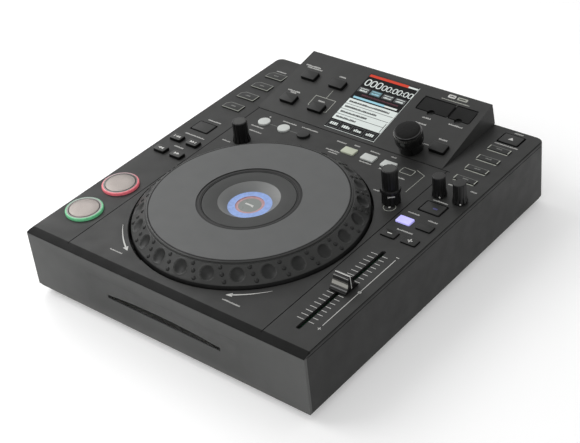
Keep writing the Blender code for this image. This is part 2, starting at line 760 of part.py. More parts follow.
KEY_KINDS = {
    "cluster": (CLUSTER_KEY, CLUSTER_RISE, KEY_PLASTIC),
    "square": (SQUARE_KEY, SQUARE_RISE, FLUSH_PLASTIC),
    "tempo": (TEMPO_KEY, TEMPO_RISE, KEY_PLASTIC),
    "hold": (HOLD_KEY, HOLD_RISE, FLUSH_PLASTIC),
    "source": (SOURCE_KEY, SOURCE_RISE, FLUSH_PLASTIC),
    "mode": (MODE_KEY, MODE_RISE, WHITE_KEY),
}


def build_deck_keys():
    meshes = {}
    for name, kind, x, y in deck_keys():
        if kind not in meshes:
            if kind == "hot":
                meshes[kind] = hot_key_mesh()
            else:
                meshes[kind] = key_mesh(*KEY_KINDS[kind][:2])
        paint = FLUSH_PLASTIC if kind == "hot" else KEY_KINDS[kind][2]
        mesh = meshes[kind]
        if name == "tempo_lock_key":
            mesh = mesh.copy()
            paint = LILAC_KEY
        part(name, mesh, paint, at(x, y))


def deck_key_holes():
    """Holes for the flat keys, with a shallow recess round the square ones."""
    holes = []
    for _, kind, x, y in deck_keys():
        if kind == "square":
            recess = centred_block(*SQUARE_HOLE, -BEZEL_DEPTH, OVERRUN, KEY_CORNER)
            holes.append(moved(recess, at(x, y)))
        if kind == "hot":
            hole = plate(hot_outline(KEY_GAP), -DECK_THICKNESS - OVERRUN, OVERRUN)
        else:
            hole = key_hole(KEY_KINDS[kind][0], -DECK_THICKNESS - OVERRUN, OVERRUN)
        holes.append(moved(hole, at(x, y)))
    return holes


def round_keys():
    """Round keys: name, place, radius, rise, dome, stem end, material."""
    transport_stem = KEY_STEM_END - (TRANSPORT_TRAVEL - KEY_TRAVEL)
    keys = [
        ("play_button", LEFT_COLUMN, PLAY_Y, TRANSPORT_RADIUS, TRANSPORT_RISE, TRANSPORT_DOME,
         transport_stem, BRUSHED_METAL),
        ("cue_button", LEFT_COLUMN, CUE_Y, TRANSPORT_RADIUS, TRANSPORT_RISE, TRANSPORT_DOME,
         transport_stem, BRUSHED_METAL),
    ]
    for number, name in enumerate(("loop_in_key", "loop_out_key", "loop_exit_key")):
        x = LEFT_STRIP_WIDTH + LOOP_FROM_SEAM + LOOP_PITCH * number
        last = name == "loop_exit_key"
        keys.append((name, x, REAR_ROW, LOOP_RADIUS, EXIT_RISE if last else LOOP_RISE, LOOP_DOME,
                     KEY_STEM_END, KEY_PLASTIC if last else WHITE_KEY))
    return keys


def build_round_keys():
    for name, x, y, radius, rise, dome, stem_end, paint in round_keys():
        mesh = round_key_mesh(radius, rise, dome, stem_end, ROUND_STEPS)
        part(name, mesh, paint, at(x, y), smooth=True)


# Knobs

def knob_mesh(sizes, shaft_end, collar=False):
    """A turned knob with a flared, fluted skirt and the shaft it sits on."""
    top, base, height = sizes
    crown = top / 8
    skirt = height * SKIRT_HEIGHT_SHARE
    profile = [(0, height), (top - crown, height), (top, height - crown)]
    if collar:
        profile += [
            (top, EFFECT_COLLAR_HEIGHT), (EFFECT_COLLAR_RADIUS, EFFECT_COLLAR_HEIGHT),
            (EFFECT_COLLAR_RADIUS, EFFECT_COLLAR_HEIGHT - EFFECT_COLLAR_BAND),
            (base, EFFECT_COLLAR_HEIGHT - 2 * EFFECT_COLLAR_BAND),
        ]
    else:
        profile += [(top, skirt), (base, KNOB_GAP + crown)]
    profile += [(base, KNOB_GAP), (SHAFT_RADIUS, KNOB_GAP), (SHAFT_RADIUS, -shaft_end), (0, -shaft_end)]
    body = turned(profile, 2 * FLUTE_COUNT)
    flute_high = EFFECT_COLLAR_HEIGHT - 2 * EFFECT_COLLAR_BAND if collar else skirt * 2
    flute = rod(FLUTE_RADIUS, KNOB_GAP - OVERRUN, flute_high, SMALL_STEPS // 2)
    reach = base + FLUTE_RADIUS / 3
    spots = [Matrix.Rotation(math.tau * (i + 1 / 2) / FLUTE_COUNT, 4, "Z")
             @ Matrix.Translation((reach, 0, 0)) for i in range(FLUTE_COUNT)]
    return merged(body, removed=(many(flute, spots),))


def knobs():
    """Knobs on the deck: name, place, sizes, whether it has a collar."""
    reach = WELL_RADIUS + KNOB_FROM_WELL
    start = (JOG_X + reach * math.cos(START_KNOB_ANGLE), JOG_Y + reach * math.sin(START_KNOB_ANGLE))
    effect = (JOG_X + reach * math.cos(EFFECT_KNOB_ANGLE), JOG_Y + reach * math.sin(EFFECT_KNOB_ANGLE))
    trim = RIGHT_COLUMN + TRIM_SHIFT
    return [
        ("start_time_knob", *start, START_KNOB, False),
        ("effect_knob", *effect, EFFECT_KNOB, True),
        ("trim_knob_1", trim - TRIM_PITCH / 2, TRIM_Y, TRIM_KNOB, False),
        ("trim_knob_2", trim + TRIM_PITCH / 2, TRIM_Y, TRIM_KNOB, False),
    ]


def build_knobs():
    shaft_end = BOARD_DEPTH - POT_HEIGHT - GAP
    for name, x, y, sizes, collar in knobs():
        part(name, knob_mesh(sizes, shaft_end, collar), KNOB_RUBBER, at(x, y), smooth=True)


# Jog wheel

def jog_slope():
    """Upper and lower ends of the wheel's sloping rim, as (radius, height)."""
    return (JOG_PLATE_RADIUS + GAP + JOG_LIP, JOG_TOP_RISE), (RIM_RADIUS, JOG_SKIRT_RISE)


def jog_profile():
    high, low = jog_slope()
    run = low[0] - high[0]
    fall = high[1] - low[1]
    length = math.hypot(run, fall)
    web_top = JOG_TOP_RISE - JOG_PLATE_THICKNESS - GAP
    web_low = web_top - JOG_WEB
    inner = (low[0] - JOG_SHELL * fall / length, low[1] - JOG_SHELL * run / length)
    skirt_inner = RIM_RADIUS - JOG_SHELL
    inner_rise = inner[1] + (inner[0] - skirt_inner) * fall / run
    web_meets_rim = inner[0] - (web_low - inner[1]) * run / fall
    bell_in = JOG_GROOVE_INNER + GAP
    bell_out = bell_in + JOG_BELL_WALL
    hub_in = POST_RADIUS + GAP
    hub_out = hub_in + JOG_HUB_WALL
    return [
        (JOG_PLATE_RADIUS + GAP, JOG_TOP_RISE), high, low, (RIM_RADIUS, -JOG_SKIRT_DROP),
        (skirt_inner, -JOG_SKIRT_DROP), (skirt_inner, inner_rise), (web_meets_rim, web_low),
        (bell_out, web_low), (bell_out, -JOG_INNER_WEB_DROP - JOG_WEB),
        (hub_out, -JOG_INNER_WEB_DROP - JOG_WEB), (hub_out, -JOG_HUB_DROP), (hub_in, -JOG_HUB_DROP),
        (hub_in, JOG_HUB_RISE), (hub_out, JOG_HUB_RISE), (hub_out, -JOG_INNER_WEB_DROP),
        (bell_in, -JOG_INNER_WEB_DROP), (bell_in, web_top), (JOG_PLATE_RADIUS + GAP, web_top),
    ]


def on_slope(turn, along=0, out=0):
    """A frame on the rim's slope: Z out of it, X down it, at an angle round the wheel."""
    high, low = jog_slope()
    middle = Vector(((high[0] + low[0]) / 2, 0, (high[1] + low[1]) / 2))
    tilt = math.atan2(high[1] - low[1], low[0] - high[0])
    lie = Matrix.Translation(middle) @ Matrix.Rotation(tilt, 4, "Y")
    return Matrix.Rotation(turn, 4, "Z") @ lie @ Matrix.Translation((along, 0, out))


def build_jog_ring():
    """The wheel: a rim with finger dimples and rows of studs, a web, a bell and a hub."""
    ball_radius = (DIMPLE_RADIUS ** 2 + DIMPLE_DEPTH ** 2) / (2 * DIMPLE_DEPTH)
    bm = bmesh.new()
    bmesh.ops.create_uvsphere(bm, u_segments=SMALL_STEPS + 2, v_segments=SMALL_STEPS + 2, radius=ball_radius)
    ball = bpy.data.meshes.new("dimple")
    bm.to_mesh(ball)
    bm.free()
    stud = turned([
        (0, STUD_RISE), (STUD_RADIUS * 2 / 3, STUD_RISE), (STUD_RADIUS, -MERGE_IN), (0, -MERGE_IN),
    ], STUD_STEPS)
    pitch = math.tau / DIMPLE_COUNT
    dimples = [on_slope(DIMPLE_TURN + pitch * i, 0, ball_radius - DIMPLE_DEPTH) for i in range(DIMPLE_COUNT)]
    first = -STUD_PITCH * (STUDS_IN_ROW - 1) / 2
    studs = [on_slope(DIMPLE_TURN + pitch * (i + 1 / 2), first + STUD_PITCH * j)
             for i in range(DIMPLE_COUNT) for j in range(STUDS_IN_ROW)]
    ring = merged(turned(jog_profile(), JOG_STEPS, closed=True),
                  joined=(many(stud, studs),), removed=(many(ball, dimples),))
    part("jog_ring", ring, JOG_RUBBER, at(JOG_X, JOG_Y), smooth=True)


def build_jog_plate():
    profile = [
        (JOG_GROOVE_INNER, CUP_TOP), (JOG_GROOVE_OUTER, JOG_TOP_RISE), (JOG_PLATE_RADIUS, JOG_TOP_RISE),
        (JOG_PLATE_RADIUS, JOG_TOP_RISE - JOG_PLATE_THICKNESS),
        (JOG_GROOVE_INNER, JOG_TOP_RISE - JOG_PLATE_THICKNESS),
    ]
    part("jog_plate", turned(profile, JOG_STEPS, closed=True), JOG_DISC, at(JOG_X, JOG_Y), smooth=True)


def build_jog_post():
    flange_top = -JOG_HUB_DROP - GAP
    floor = -WELL_DEPTH + GAP
    profile = [
        (0, CUP_BOTTOM - GAP), (POST_RADIUS, CUP_BOTTOM - GAP), (POST_RADIUS, flange_top),
        (POST_FLANGE_RADIUS, flange_top), (POST_FLANGE_RADIUS, floor), (0, floor),
    ]
    part("jog_post", turned(profile, ROUND_STEPS), STEEL, at(JOG_X, JOG_Y), smooth=True)


def build_jog_display():
    lens = CUP_TOP - LENS_WELL_DROP
    core = lens - LENS_CORE_DROP
    profile = [
        (0, core), (LENS_CORE_RADIUS, core), (LENS_CORE_RADIUS, lens), (LENS_RING_RADIUS, lens),
        (LENS_WELL_RADIUS, CUP_TOP), (CUP_RADIUS, CUP_TOP), (CUP_RADIUS, CUP_BOTTOM), (0, CUP_BOTTOM),
    ]
    part("jog_display", turned(profile, 2 * ROUND_STEPS), LENS, at(JOG_X, JOG_Y), smooth=True)


# Casing

def side_block(points, low_x, high_x):
    """A side view outline, measured from the front lower edge, thickened across the body."""
    return plate(points, low_x - BODY_WIDTH / 2, high_x - BODY_WIDTH / 2,
                 Matrix.Translation((0, -BODY_DEPTH / 2, EDGE_HEIGHT)) @ SIDE_VIEW)


def soften_body(mesh):
    """Rounds the rear uprights and the rim of the deck."""
    bm = bmesh.new()
    bm.from_mesh(mesh)
    bmesh.ops.dissolve_limit(bm, angle_limit=FLAT_ANGLE, verts=bm.verts, edges=bm.edges)
    rear = BODY_DEPTH / 2 - MERGE_IN
    bevel_edges(bm, lambda a, b: upright(a, b) and a.y > rear, REAR_CORNER_RADIUS, 4)
    front = -BODY_DEPTH / 2 + FRONT_SLOPE_RUN + MERGE_IN
    bevel_edges(bm, lambda a, b: min(a.z, b.z) > DECK - MERGE_IN and max(a.y, b.y) > front,
                DECK_EDGE_RADIUS, 1)
    bm.to_mesh(mesh)
    bm.free()
    return mesh


def rounded_rear_block(low, high, radius):
    bm = bmesh.new()
    mesh = block(low, high)
    bm.from_mesh(mesh)
    rear = high[1] - MERGE
    bevel_edges(bm, lambda a, b: upright(a, b) and a.y > rear, radius, 4)
    bm.to_mesh(mesh)
    bm.free()
    return mesh


def cover_body():
    """The outside of the cover: one side view outline with the panel's rebate at its front."""
    slope_foot = BODY_HEIGHT - FRONT_SLOPE_DROP
    lip = slope_foot - FRONT_LIP
    rebate = PANEL_THICKNESS + GAP
    outline = [
        (0, slope_foot), (0, lip), (rebate, lip), (rebate, 0), (BODY_DEPTH, 0),
        (BODY_DEPTH, BODY_HEIGHT), (FRONT_SLOPE_RUN, BODY_HEIGHT),
    ]
    return soften_body(side_block(outline, 0, BODY_WIDTH))


def cover_cavity():
    low = inside(WALL, -OVERRUN, -OVERRUN)
    high = inside(BODY_WIDTH - WALL, BODY_DEPTH - WALL, BODY_HEIGHT - DECK_THICKNESS)
    return rounded_rear_block(low, high, REAR_CORNER_RADIUS - WALL)


def bay_blocks():
    """The rear bay: the box that forms its walls and the recess cut into it."""
    left = BAY_LEFT_INSET
    right = BODY_WIDTH - BAY_RIGHT_INSET
    shell = block(inside(left - WALL, BAY_WALL - WALL, BAY_BOTTOM - WALL),
                  inside(right + WALL, BODY_DEPTH - WALL + MERGE_IN, BAY_BOTTOM + BAY_HEIGHT + WALL))
    recess = block(inside(left, BAY_WALL, BAY_BOTTOM),
                   inside(right, BODY_DEPTH + OVERRUN, BAY_BOTTOM + BAY_HEIGHT))
    return shell, recess


def socket_holes():
    """Holes through the bay's wall for the sockets, the inlet and the switch."""
    near = BAY_WALL - WALL - OVERRUN
    far = BAY_WALL + OVERRUN
    holes = []
    rounds = [(from_right, JACK_RADIUS) for from_right in RCA_FROM_RIGHT]
    rounds.append((REMOTE_FROM_RIGHT, REMOTE_RADIUS))
    for from_right, radius in rounds:
        bore = rod(radius + GAP, 0, far - near)
        bore.transform(Matrix.Rotation(-math.pi / 2, 4, "X"))
        holes.append(moved(bore, inside(BODY_WIDTH - from_right, near, JACK_CENTRE)))
    centre = BODY_WIDTH - USB_FROM_RIGHT
    width, height = (side + 2 * GAP for side in USB_SIZE)
    holes.append(block(inside(centre - width / 2, near, JACK_CENTRE - height / 2),
                       inside(centre + width / 2, far, JACK_CENTRE + height / 2)))
    low, high = inlet_body(GAP)
    holes.append(block((low.x, near - BODY_DEPTH / 2, low.z), (high.x, far - BODY_DEPTH / 2, high.z)))
    return holes


def inlet_body(grow=0):
    """Corners of the moulded block that holds the mains inlet and its switch."""
    right = INLET_FROM_LEFT + INLET_SIZE[0] / 2
    left = INLET_FROM_LEFT - SWITCH_FROM_INLET - ROCKER_SIZE[0] / 2 - ROCKER_FRAME
    half = INLET_SIZE[1] / 2
    reach = Vector((grow, 0, grow))
    low = inside(left, BAY_WALL - INLET_DEPTH - 2 * ROCKER_FRAME, INLET_CENTRE - half) - reach
    high = inside(right, BAY_WALL + MERGE_IN, INLET_CENTRE + half) + reach
    return low, high


def collar_mesh():
    """The raised ring round a transport button."""
    inner = TRANSPORT_RADIUS
    low = -DECK_THICKNESS / 2
    return turned([
        (inner, COLLAR_RISE), (COLLAR_RADIUS - COLLAR_BAND / 3, COLLAR_RISE),
        (COLLAR_RADIUS, COLLAR_RISE / 2), (COLLAR_RADIUS, low), (inner, low),
    ], ROUND_STEPS, closed=True)


def boss_places():
    """Places of the bosses under the deck that carry the control board."""
    front = JOG_FRONT_MARGIN + BOSS_MARGIN
    ends = (front, TRACK_Y - 2 * CLUSTER_PITCH, REAR_ROW, BODY_DEPTH - 3 * BOSS_MARGIN)
    return [(x, y) for y in ends for x in (BOSS_INSET, BODY_WIDTH - BOSS_INSET)]


def console_opening():
    low = at(CONSOLE_LEFT, CREASE, -DECK_THICKNESS - OVERRUN)
    high = at(CONSOLE_RIGHT, BODY_DEPTH - WALL - GAP, OVERRUN)
    return block(low, high)


def seam_grooves():
    """Thin grooves along the deck's two seams and round the walls under its rim."""
    half = SEAM_WIDTH / 2
    grooves = []
    for x in (LEFT_STRIP_WIDTH, BODY_WIDTH - RIGHT_STRIP_WIDTH):
        grooves.append(block(at(x - half, FRONT_SLOPE_RUN / 2, -SEAM_DEPTH), at(x + half, CREASE, OVERRUN)))
    low = BODY_HEIGHT - SIDE_SEAM_DROP
    for x, side in ((0, 1), (BODY_WIDTH, -1)):
        depth = x + side * SEAM_DEPTH
        out = x - side * OVERRUN
        grooves.append(block(inside(min(depth, out), PANEL_THICKNESS + GAP + OVERRUN, low - half),
                             inside(max(depth, out), BODY_DEPTH - REAR_CORNER_RADIUS, low + half)))
    return grooves


def build_top_cover():
    """The moulded cover: deck, walls, jog well, rear bay, collars and board bosses."""
    cover = part("top_cover", cover_body(), DECK_PLASTIC, smooth=True)
    cut(cover, cover_cavity())
    well_outside = rod(WELL_RADIUS + WALL, -WELL_DEPTH - WALL, -DECK_THICKNESS / 2, JOG_STEPS)
    bay, recess = bay_blocks()
    boss = rod(BOSS_RADIUS, -BOARD_DEPTH + GAP, -DECK_THICKNESS / 2)
    join(cover, moved(well_outside, at(JOG_X, JOG_Y)), bay,
         *[moved(boss, at(x, y)) for x, y in boss_places()],
         *[moved(collar_mesh(), at(LEFT_COLUMN, y)) for y in (PLAY_Y, CUE_Y)])
    shaft_hole = rod(SHAFT_RADIUS + SHAFT_CLEARANCE, -DECK_THICKNESS - OVERRUN, OVERRUN)
    round_holes = [moved(rod(radius + KEY_GAP, -DECK_THICKNESS - OVERRUN, COLLAR_RISE + OVERRUN, ROUND_STEPS),
                         at(x, y)) for _, x, y, radius, *_ in round_keys()]
    half = FADER_SLOT_WIDTH / 2
    rear = FADER_FRONT_MARGIN + FADER_SLOT_LENGTH
    fader_slot = block(at(RIGHT_COLUMN - half, FADER_FRONT_MARGIN, -DECK_THICKNESS - OVERRUN),
                       at(RIGHT_COLUMN + half, rear, OVERRUN), FADER_SLOT_WIDTH / 3)
    well = rod(WELL_RADIUS, -WELL_DEPTH, OVERRUN, JOG_STEPS)
    cut(cover, recess, moved(well, at(JOG_X, JOG_Y)), console_opening(), fader_slot,
        *seam_grooves(), *socket_holes(), *deck_key_holes(), *round_holes,
        *[moved(shaft_hole, at(x, y)) for _, x, y, _, _ in knobs()])


def front_outline_block(points, low_y, high_y):
    """A front view outline, measured from the panel's lower middle, thickened along Y."""
    frame = Matrix.Translation((0, 0, EDGE_HEIGHT)) @ FRONT_VIEW
    return plate(points, BODY_DEPTH / 2 - high_y, BODY_DEPTH / 2 - low_y, frame)


def slot_outline():
    """The disc slot: flat below, arched above."""
    points = [(-SLOT_HALF_WIDTH, SLOT_BOTTOM), (SLOT_HALF_WIDTH, SLOT_BOTTOM)]
    for i in range(SLOT_ARCH_STEPS + 1):
        share = 1 - 2 * i / SLOT_ARCH_STEPS
        points.append((SLOT_HALF_WIDTH * share,
                       SLOT_BOTTOM + SLOT_END_HEIGHT + SLOT_ARCH * (1 - share ** 2)))
    return points


def recess_cutter():
    """The shallow tapered recess round the slot: narrower at its floor."""
    mesh = block((-1, -BODY_DEPTH / 2 - OVERRUN, 0), (1, -BODY_DEPTH / 2 + RECESS_DEPTH, 1))
    widen = OVERRUN / RECESS_DEPTH
    for vert in mesh.vertices:
        outer = vert.co.y < -BODY_DEPTH / 2
        flare = 1 + widen if outer else 0
        half = RECESS_INNER_HALF_WIDTH + (RECESS_OUTER_HALF_WIDTH - RECESS_INNER_HALF_WIDTH) * flare
        low = RECESS_INNER_BOTTOM - (RECESS_INNER_BOTTOM - RECESS_OUTER_BOTTOM) * flare
        high = RECESS_TOP - RECESS_TOP_BEVEL + RECESS_TOP_BEVEL * flare
        vert.co.x = math.copysign(half, vert.co.x)
        vert.co.z = EDGE_HEIGHT + (high if vert.co.z > MERGE else low)
    return mesh


def build_front_panel():
    low = inside(0, 0, 0)
    high = inside(BODY_WIDTH, PANEL_THICKNESS, BODY_HEIGHT - DECK_THICKNESS - GAP)
    panel = part("front_panel", block(low, high), PANEL_PLASTIC)
    slot = front_outline_block(slot_outline(), -OVERRUN, PANEL_THICKNESS + OVERRUN)
    cut(panel, recess_cutter(), slot)


def standoff(x, y, top):
    """A post from the base plate to just below the board or drive it carries."""
    return moved(rod(STANDOFF_RADIUS, -GAP - TRAY_THICKNESS / 2, top - GAP), inside(x, y, 0))


def drive_corners():
    return [(BODY_WIDTH / 2 + side * (DRIVE_WIDTH / 2 - 3 * STANDOFF_RADIUS), y)
            for side in (-1, 1) for y in (DRIVE_FRONT + 4 * STANDOFF_RADIUS,
                                          DRIVE_FRONT + DRIVE_LENGTH - 4 * STANDOFF_RADIUS)]


def board_corners(left, right, front, rear):
    inset = 2 * STANDOFF_RADIUS
    return [(x, y) for x in (left + inset, right - inset) for y in (front + inset, rear - inset)]


def build_bottom_tray():
    """The steel base plate with vent slots and the standoffs for what it carries."""
    low = inside(TRAY_INSET, TRAY_INSET, -GAP - TRAY_THICKNESS)
    high = inside(BODY_WIDTH - TRAY_INSET, BODY_DEPTH - TRAY_INSET, -GAP)
    tray = part("bottom_tray", rounded_rear_block(low, high, REAR_CORNER_RADIUS - TRAY_INSET), TRAY_STEEL)
    low_posts = board_corners(MAIN_BOARD_LEFT, MAIN_BOARD_RIGHT, MAIN_BOARD_FRONT, LOW_BOARDS_REAR)
    low_posts += board_corners(SUPPLY_LEFT, SUPPLY_LEFT + SUPPLY_WIDTH, SUPPLY_FRONT, LOW_BOARDS_REAR)
    posts = [standoff(x, y, STANDOFF_HEIGHT) for x, y in low_posts]
    posts += [standoff(x, y, DRIVE_BOTTOM) for x, y in drive_corners()]
    join(tray, *posts)
    first = -VENT_PITCH * (VENT_COUNT - 1) / 2
    for group in (BODY_WIDTH / 4, BODY_WIDTH * 3 / 4):
        vents = [block(inside(group + first + VENT_PITCH * i - VENT_WIDTH / 2, VENT_FROM_FRONT,
                              -GAP - TRAY_THICKNESS - OVERRUN),
                       inside(group + first + VENT_PITCH * i + VENT_WIDTH / 2, VENT_FROM_FRONT + VENT_LENGTH,
                              OVERRUN)) for i in range(VENT_COUNT)]
        cut(tray, *vents)


def build_feet():
    profile = [
        (0, FOOT_HEIGHT), (FOOT_RADIUS, FOOT_HEIGHT), (FOOT_TIP_RADIUS, 0), (FOOT_SOCKET_RADIUS, 0),
        (FOOT_SOCKET_RADIUS, FOOT_SOCKET_DEPTH), (0, FOOT_SOCKET_DEPTH),
    ]
    foot = turned(profile, ROUND_STEPS)
    places = {
        "foot_front_left": (-1, -1), "foot_front_right": (1, -1),
        "foot_rear_left": (-1, 1), "foot_rear_right": (1, 1),
    }
    for name, (side, end) in places.items():
        spot = (side * (BODY_WIDTH / 2 - FOOT_INSET), end * (BODY_DEPTH / 2 - FOOT_INSET), 0)
        part(name, foot, FOOT_RUBBER, spot, smooth=True)


# Console

def slope_height(from_crease):
    return from_crease * CONSOLE_RISE / CONSOLE_RUN


def console_outside():
    """The wedge with its skirt through the deck, its side walls drawn in upwards."""
    lip = BODY_HEIGHT + GAP
    low = BODY_HEIGHT - CONSOLE_SKIRT
    front = CREASE + GAP
    skirt_rear = BODY_DEPTH - WALL - 2 * GAP
    mesh = side_block([
        (front, low), (skirt_rear, low), (skirt_rear, lip), (BODY_DEPTH, lip),
        (BODY_DEPTH, BODY_HEIGHT + CONSOLE_RISE), (front, BODY_HEIGHT + slope_height(GAP)),
    ], CONSOLE_LEFT + GAP, CONSOLE_RIGHT - GAP)
    centre = (CONSOLE_LEFT + CONSOLE_RIGHT - BODY_WIDTH) / 2
    for vert in mesh.vertices:
        rise = max(0, vert.co.z - DECK)
        vert.co.x -= math.copysign(CONSOLE_DRAFT * rise / CONSOLE_RISE, vert.co.x - centre)
    return mesh


def console_cavity():
    front = CREASE + GAP + CONSOLE_WALL
    rear = BODY_DEPTH - WALL - CONSOLE_WALL
    under = BODY_HEIGHT - CONSOLE_WALL / math.cos(SLOPE)
    inset = CONSOLE_DRAFT + CONSOLE_WALL
    return side_block([
        (front, BODY_HEIGHT - CONSOLE_SKIRT - OVERRUN), (rear, BODY_HEIGHT - CONSOLE_SKIRT - OVERRUN),
        (rear, under + slope_height(rear - CREASE)), (front, under + slope_height(front - CREASE)),
    ], CONSOLE_LEFT + inset, CONSOLE_RIGHT - inset)


def console_keys():
    """Keys on the console: name, place across and up the slope."""
    keys = []
    for row, low in enumerate((CONSOLE_KEY_LOW + CONSOLE_KEY_ROW_PITCH, CONSOLE_KEY_LOW)):
        for column in range(2):
            name = f"menu_key_{row * 2 + column + 1}"
            keys.append((name, CONSOLE_KEY_LEFT + CONSOLE_KEY_PITCH * column, low))
    keys.append(("back_key", BACK_KEY_LEFT, BACK_KEY_LOW))
    return keys


def flap_pocket(index):
    """Corners across the console of a flap's well."""
    left = FLAP_LEFTS[index]
    return left - FLAP_GAP / 2, left + FLAP_WIDTHS[index] + FLAP_GAP / 2


def port_block(index, low, high, grow=0):
    """A port's outline under its flap, thickened square to the console's face."""
    width, height = PORT_SIZES[index]
    centre = FLAP_LEFTS[index] + FLAP_WIDTHS[index] / 2
    return block((centre - width / 2 - grow, FLAP_LOW + PORT_LOW - height / 2 - grow, low),
                 (centre + width / 2 + grow, FLAP_LOW + PORT_LOW + height / 2 + grow, high))


def flap_axis():
    """Distance up the slope and depth below it of the flaps' hinge line."""
    return FLAP_LOW + FLAP_HEIGHT - FLAP_THICKNESS / 2, -FLAP_SINK - FLAP_THICKNESS / 2


def across_rod(radius, low_x, high_x, y, z):
    bar = rod(radius, 0, high_x - low_x, SMALL_STEPS)
    bar.transform(Matrix.Rotation(math.pi / 2, 4, "Y"))
    return moved(bar, (low_x, y, z))


def build_console_housing():
    """The wedge-shaped housing of the screen, menu keys, browse knob and port flaps."""
    housing = part("console_housing", console_outside(), CONSOLE_PLASTIC)
    cut(housing, console_cavity())
    pad_low = -FLAP_WELL_DEPTH - PORT_DEPTH - PORT_WALL / 2
    pads_rear = FLAP_LOW + FLAP_HEIGHT + FLAP_GAP + PORT_WALL
    pads = block((flap_pocket(0)[0] - PORT_WALL, FLAP_LOW - PORT_WALL, pad_low),
                 (flap_pocket(1)[1] + PORT_WALL, pads_rear, -CONSOLE_WALL / 2))
    boss = rod(BOSS_RADIUS, -CONSOLE_BOARD_DEPTH + GAP, -CONSOLE_WALL / 2)
    bosses = [moved(boss, spot) for spot in console_boss_places()]
    join(housing, tilted(pads), *[tilted(item) for item in bosses])
    low = -CONSOLE_WALL - OVERRUN * 2
    holes = [block((WINDOW_LEFT, WINDOW_LOW, low),
                   (WINDOW_LEFT + WINDOW_WIDTH, WINDOW_LOW + WINDOW_HEIGHT, OVERRUN))]
    holes += [moved(key_hole(CONSOLE_KEY, low, OVERRUN), (x, y, 0)) for _, x, y in console_keys()]
    holes.append(moved(rod(SHAFT_RADIUS + SHAFT_CLEARANCE, low, OVERRUN), (ENCODER_LEFT, ENCODER_LOW, 0)))
    holes.append(across_rod(FLAP_PIN_RADIUS + GAP, flap_pocket(0)[0] - FLAP_PIN_LENGTH,
                            flap_pocket(1)[1] + FLAP_PIN_LENGTH, *flap_axis()))
    for index in range(2):
        left, right = flap_pocket(index)
        holes.append(block((left, FLAP_LOW - FLAP_GAP / 2, -FLAP_WELL_DEPTH),
                           (right, FLAP_LOW + FLAP_HEIGHT + FLAP_GAP, OVERRUN)))
        holes.append(port_block(index, pad_low - OVERRUN, -FLAP_WELL_DEPTH + OVERRUN, PORT_WALL / 2))
        notch = rod(FLAP_NOTCH_RADIUS, -FLAP_THICKNESS, OVERRUN, 2 * SMALL_STEPS)
        holes.append(moved(notch, ((left + right) / 2, FLAP_LOW, 0)))
    cut(housing, *[tilted(item) for item in holes])


def console_boss_places():
    inset = CONSOLE_BOARD_EDGE + BOSS_MARGIN
    rear = CONSOLE_BOARD_REAR - BOSS_MARGIN
    xs = (inset, WINDOW_LEFT - 2 * BOSS_RADIUS, WINDOW_LEFT + WINDOW_WIDTH + 2 * BOSS_RADIUS)
    return [(xs[0], inset, 0), (xs[0], rear, 0), (xs[1], rear, 0), (xs[2], rear, 0)]


def build_display_module():
    """The screen on its board, with the switches, encoder body and port sockets."""
    low = -CONSOLE_BOARD_DEPTH - BOARD_THICKNESS
    top = -CONSOLE_BOARD_DEPTH
    rear = CONSOLE_BOARD_REAR
    board = block((CONSOLE_BOARD_EDGE, CONSOLE_BOARD_EDGE / 2, low),
                  (CONSOLE_WIDTH - CONSOLE_BOARD_EDGE, rear, top))
    glass = block((WINDOW_LEFT + KEY_GAP, WINDOW_LOW + KEY_GAP, -PANEL_DEPTH + MERGE_IN - GAP),
                  (WINDOW_LEFT + WINDOW_WIDTH - KEY_GAP, WINDOW_LOW + WINDOW_HEIGHT - KEY_GAP, -GAP / 2))
    frame = block((WINDOW_LEFT + PANEL_FRAME, WINDOW_LOW + PANEL_FRAME, top - MERGE_IN),
                  (WINDOW_LEFT + WINDOW_WIDTH - PANEL_FRAME, rear - PANEL_FRAME, -PANEL_DEPTH + MERGE_IN))
    pieces = [glass, frame]
    for _, x, y in console_keys():
        switch = centred_block(SWITCH_SIZE, SWITCH_SIZE, top - MERGE_IN, -CONSOLE_STEM_END - KEY_TRAVEL - GAP)
        pieces.append(moved(switch, (x, y, 0)))
    body = centred_block(ENCODER_BODY, ENCODER_BODY, top - MERGE_IN, top + ENCODER_BODY_HEIGHT - GAP)
    pieces.append(moved(body, (ENCODER_LEFT, ENCODER_LOW, 0)))
    pieces += [port_block(index, top - MERGE_IN, -FLAP_WELL_DEPTH - GAP, PORT_WALL / 2 - GAP)
               for index in range(2)]
    bore = rod(SHAFT_RADIUS + GAP, top + GAP * 2, top + ENCODER_BODY_HEIGHT + OVERRUN)
    cuts = [moved(bore, (ENCODER_LEFT, ENCODER_LOW, 0))]
    cuts += [port_block(index, -FLAP_WELL_DEPTH - PORT_DEPTH, OVERRUN - FLAP_WELL_DEPTH, -PORT_WALL / 8)
             for index in range(2)]
    part("display_module", merged(board, pieces, cuts), SCREEN_GLASS, parent=CONSOLE)


def build_console_keys():
    mesh = key_mesh(CONSOLE_KEY, CONSOLE_KEY_RISE, CONSOLE_WALL + GAP, CONSOLE_STEM_END)
    for name, x, y in console_keys():
        part(name, mesh, KEY_PLASTIC, (x, y, 0), CONSOLE)


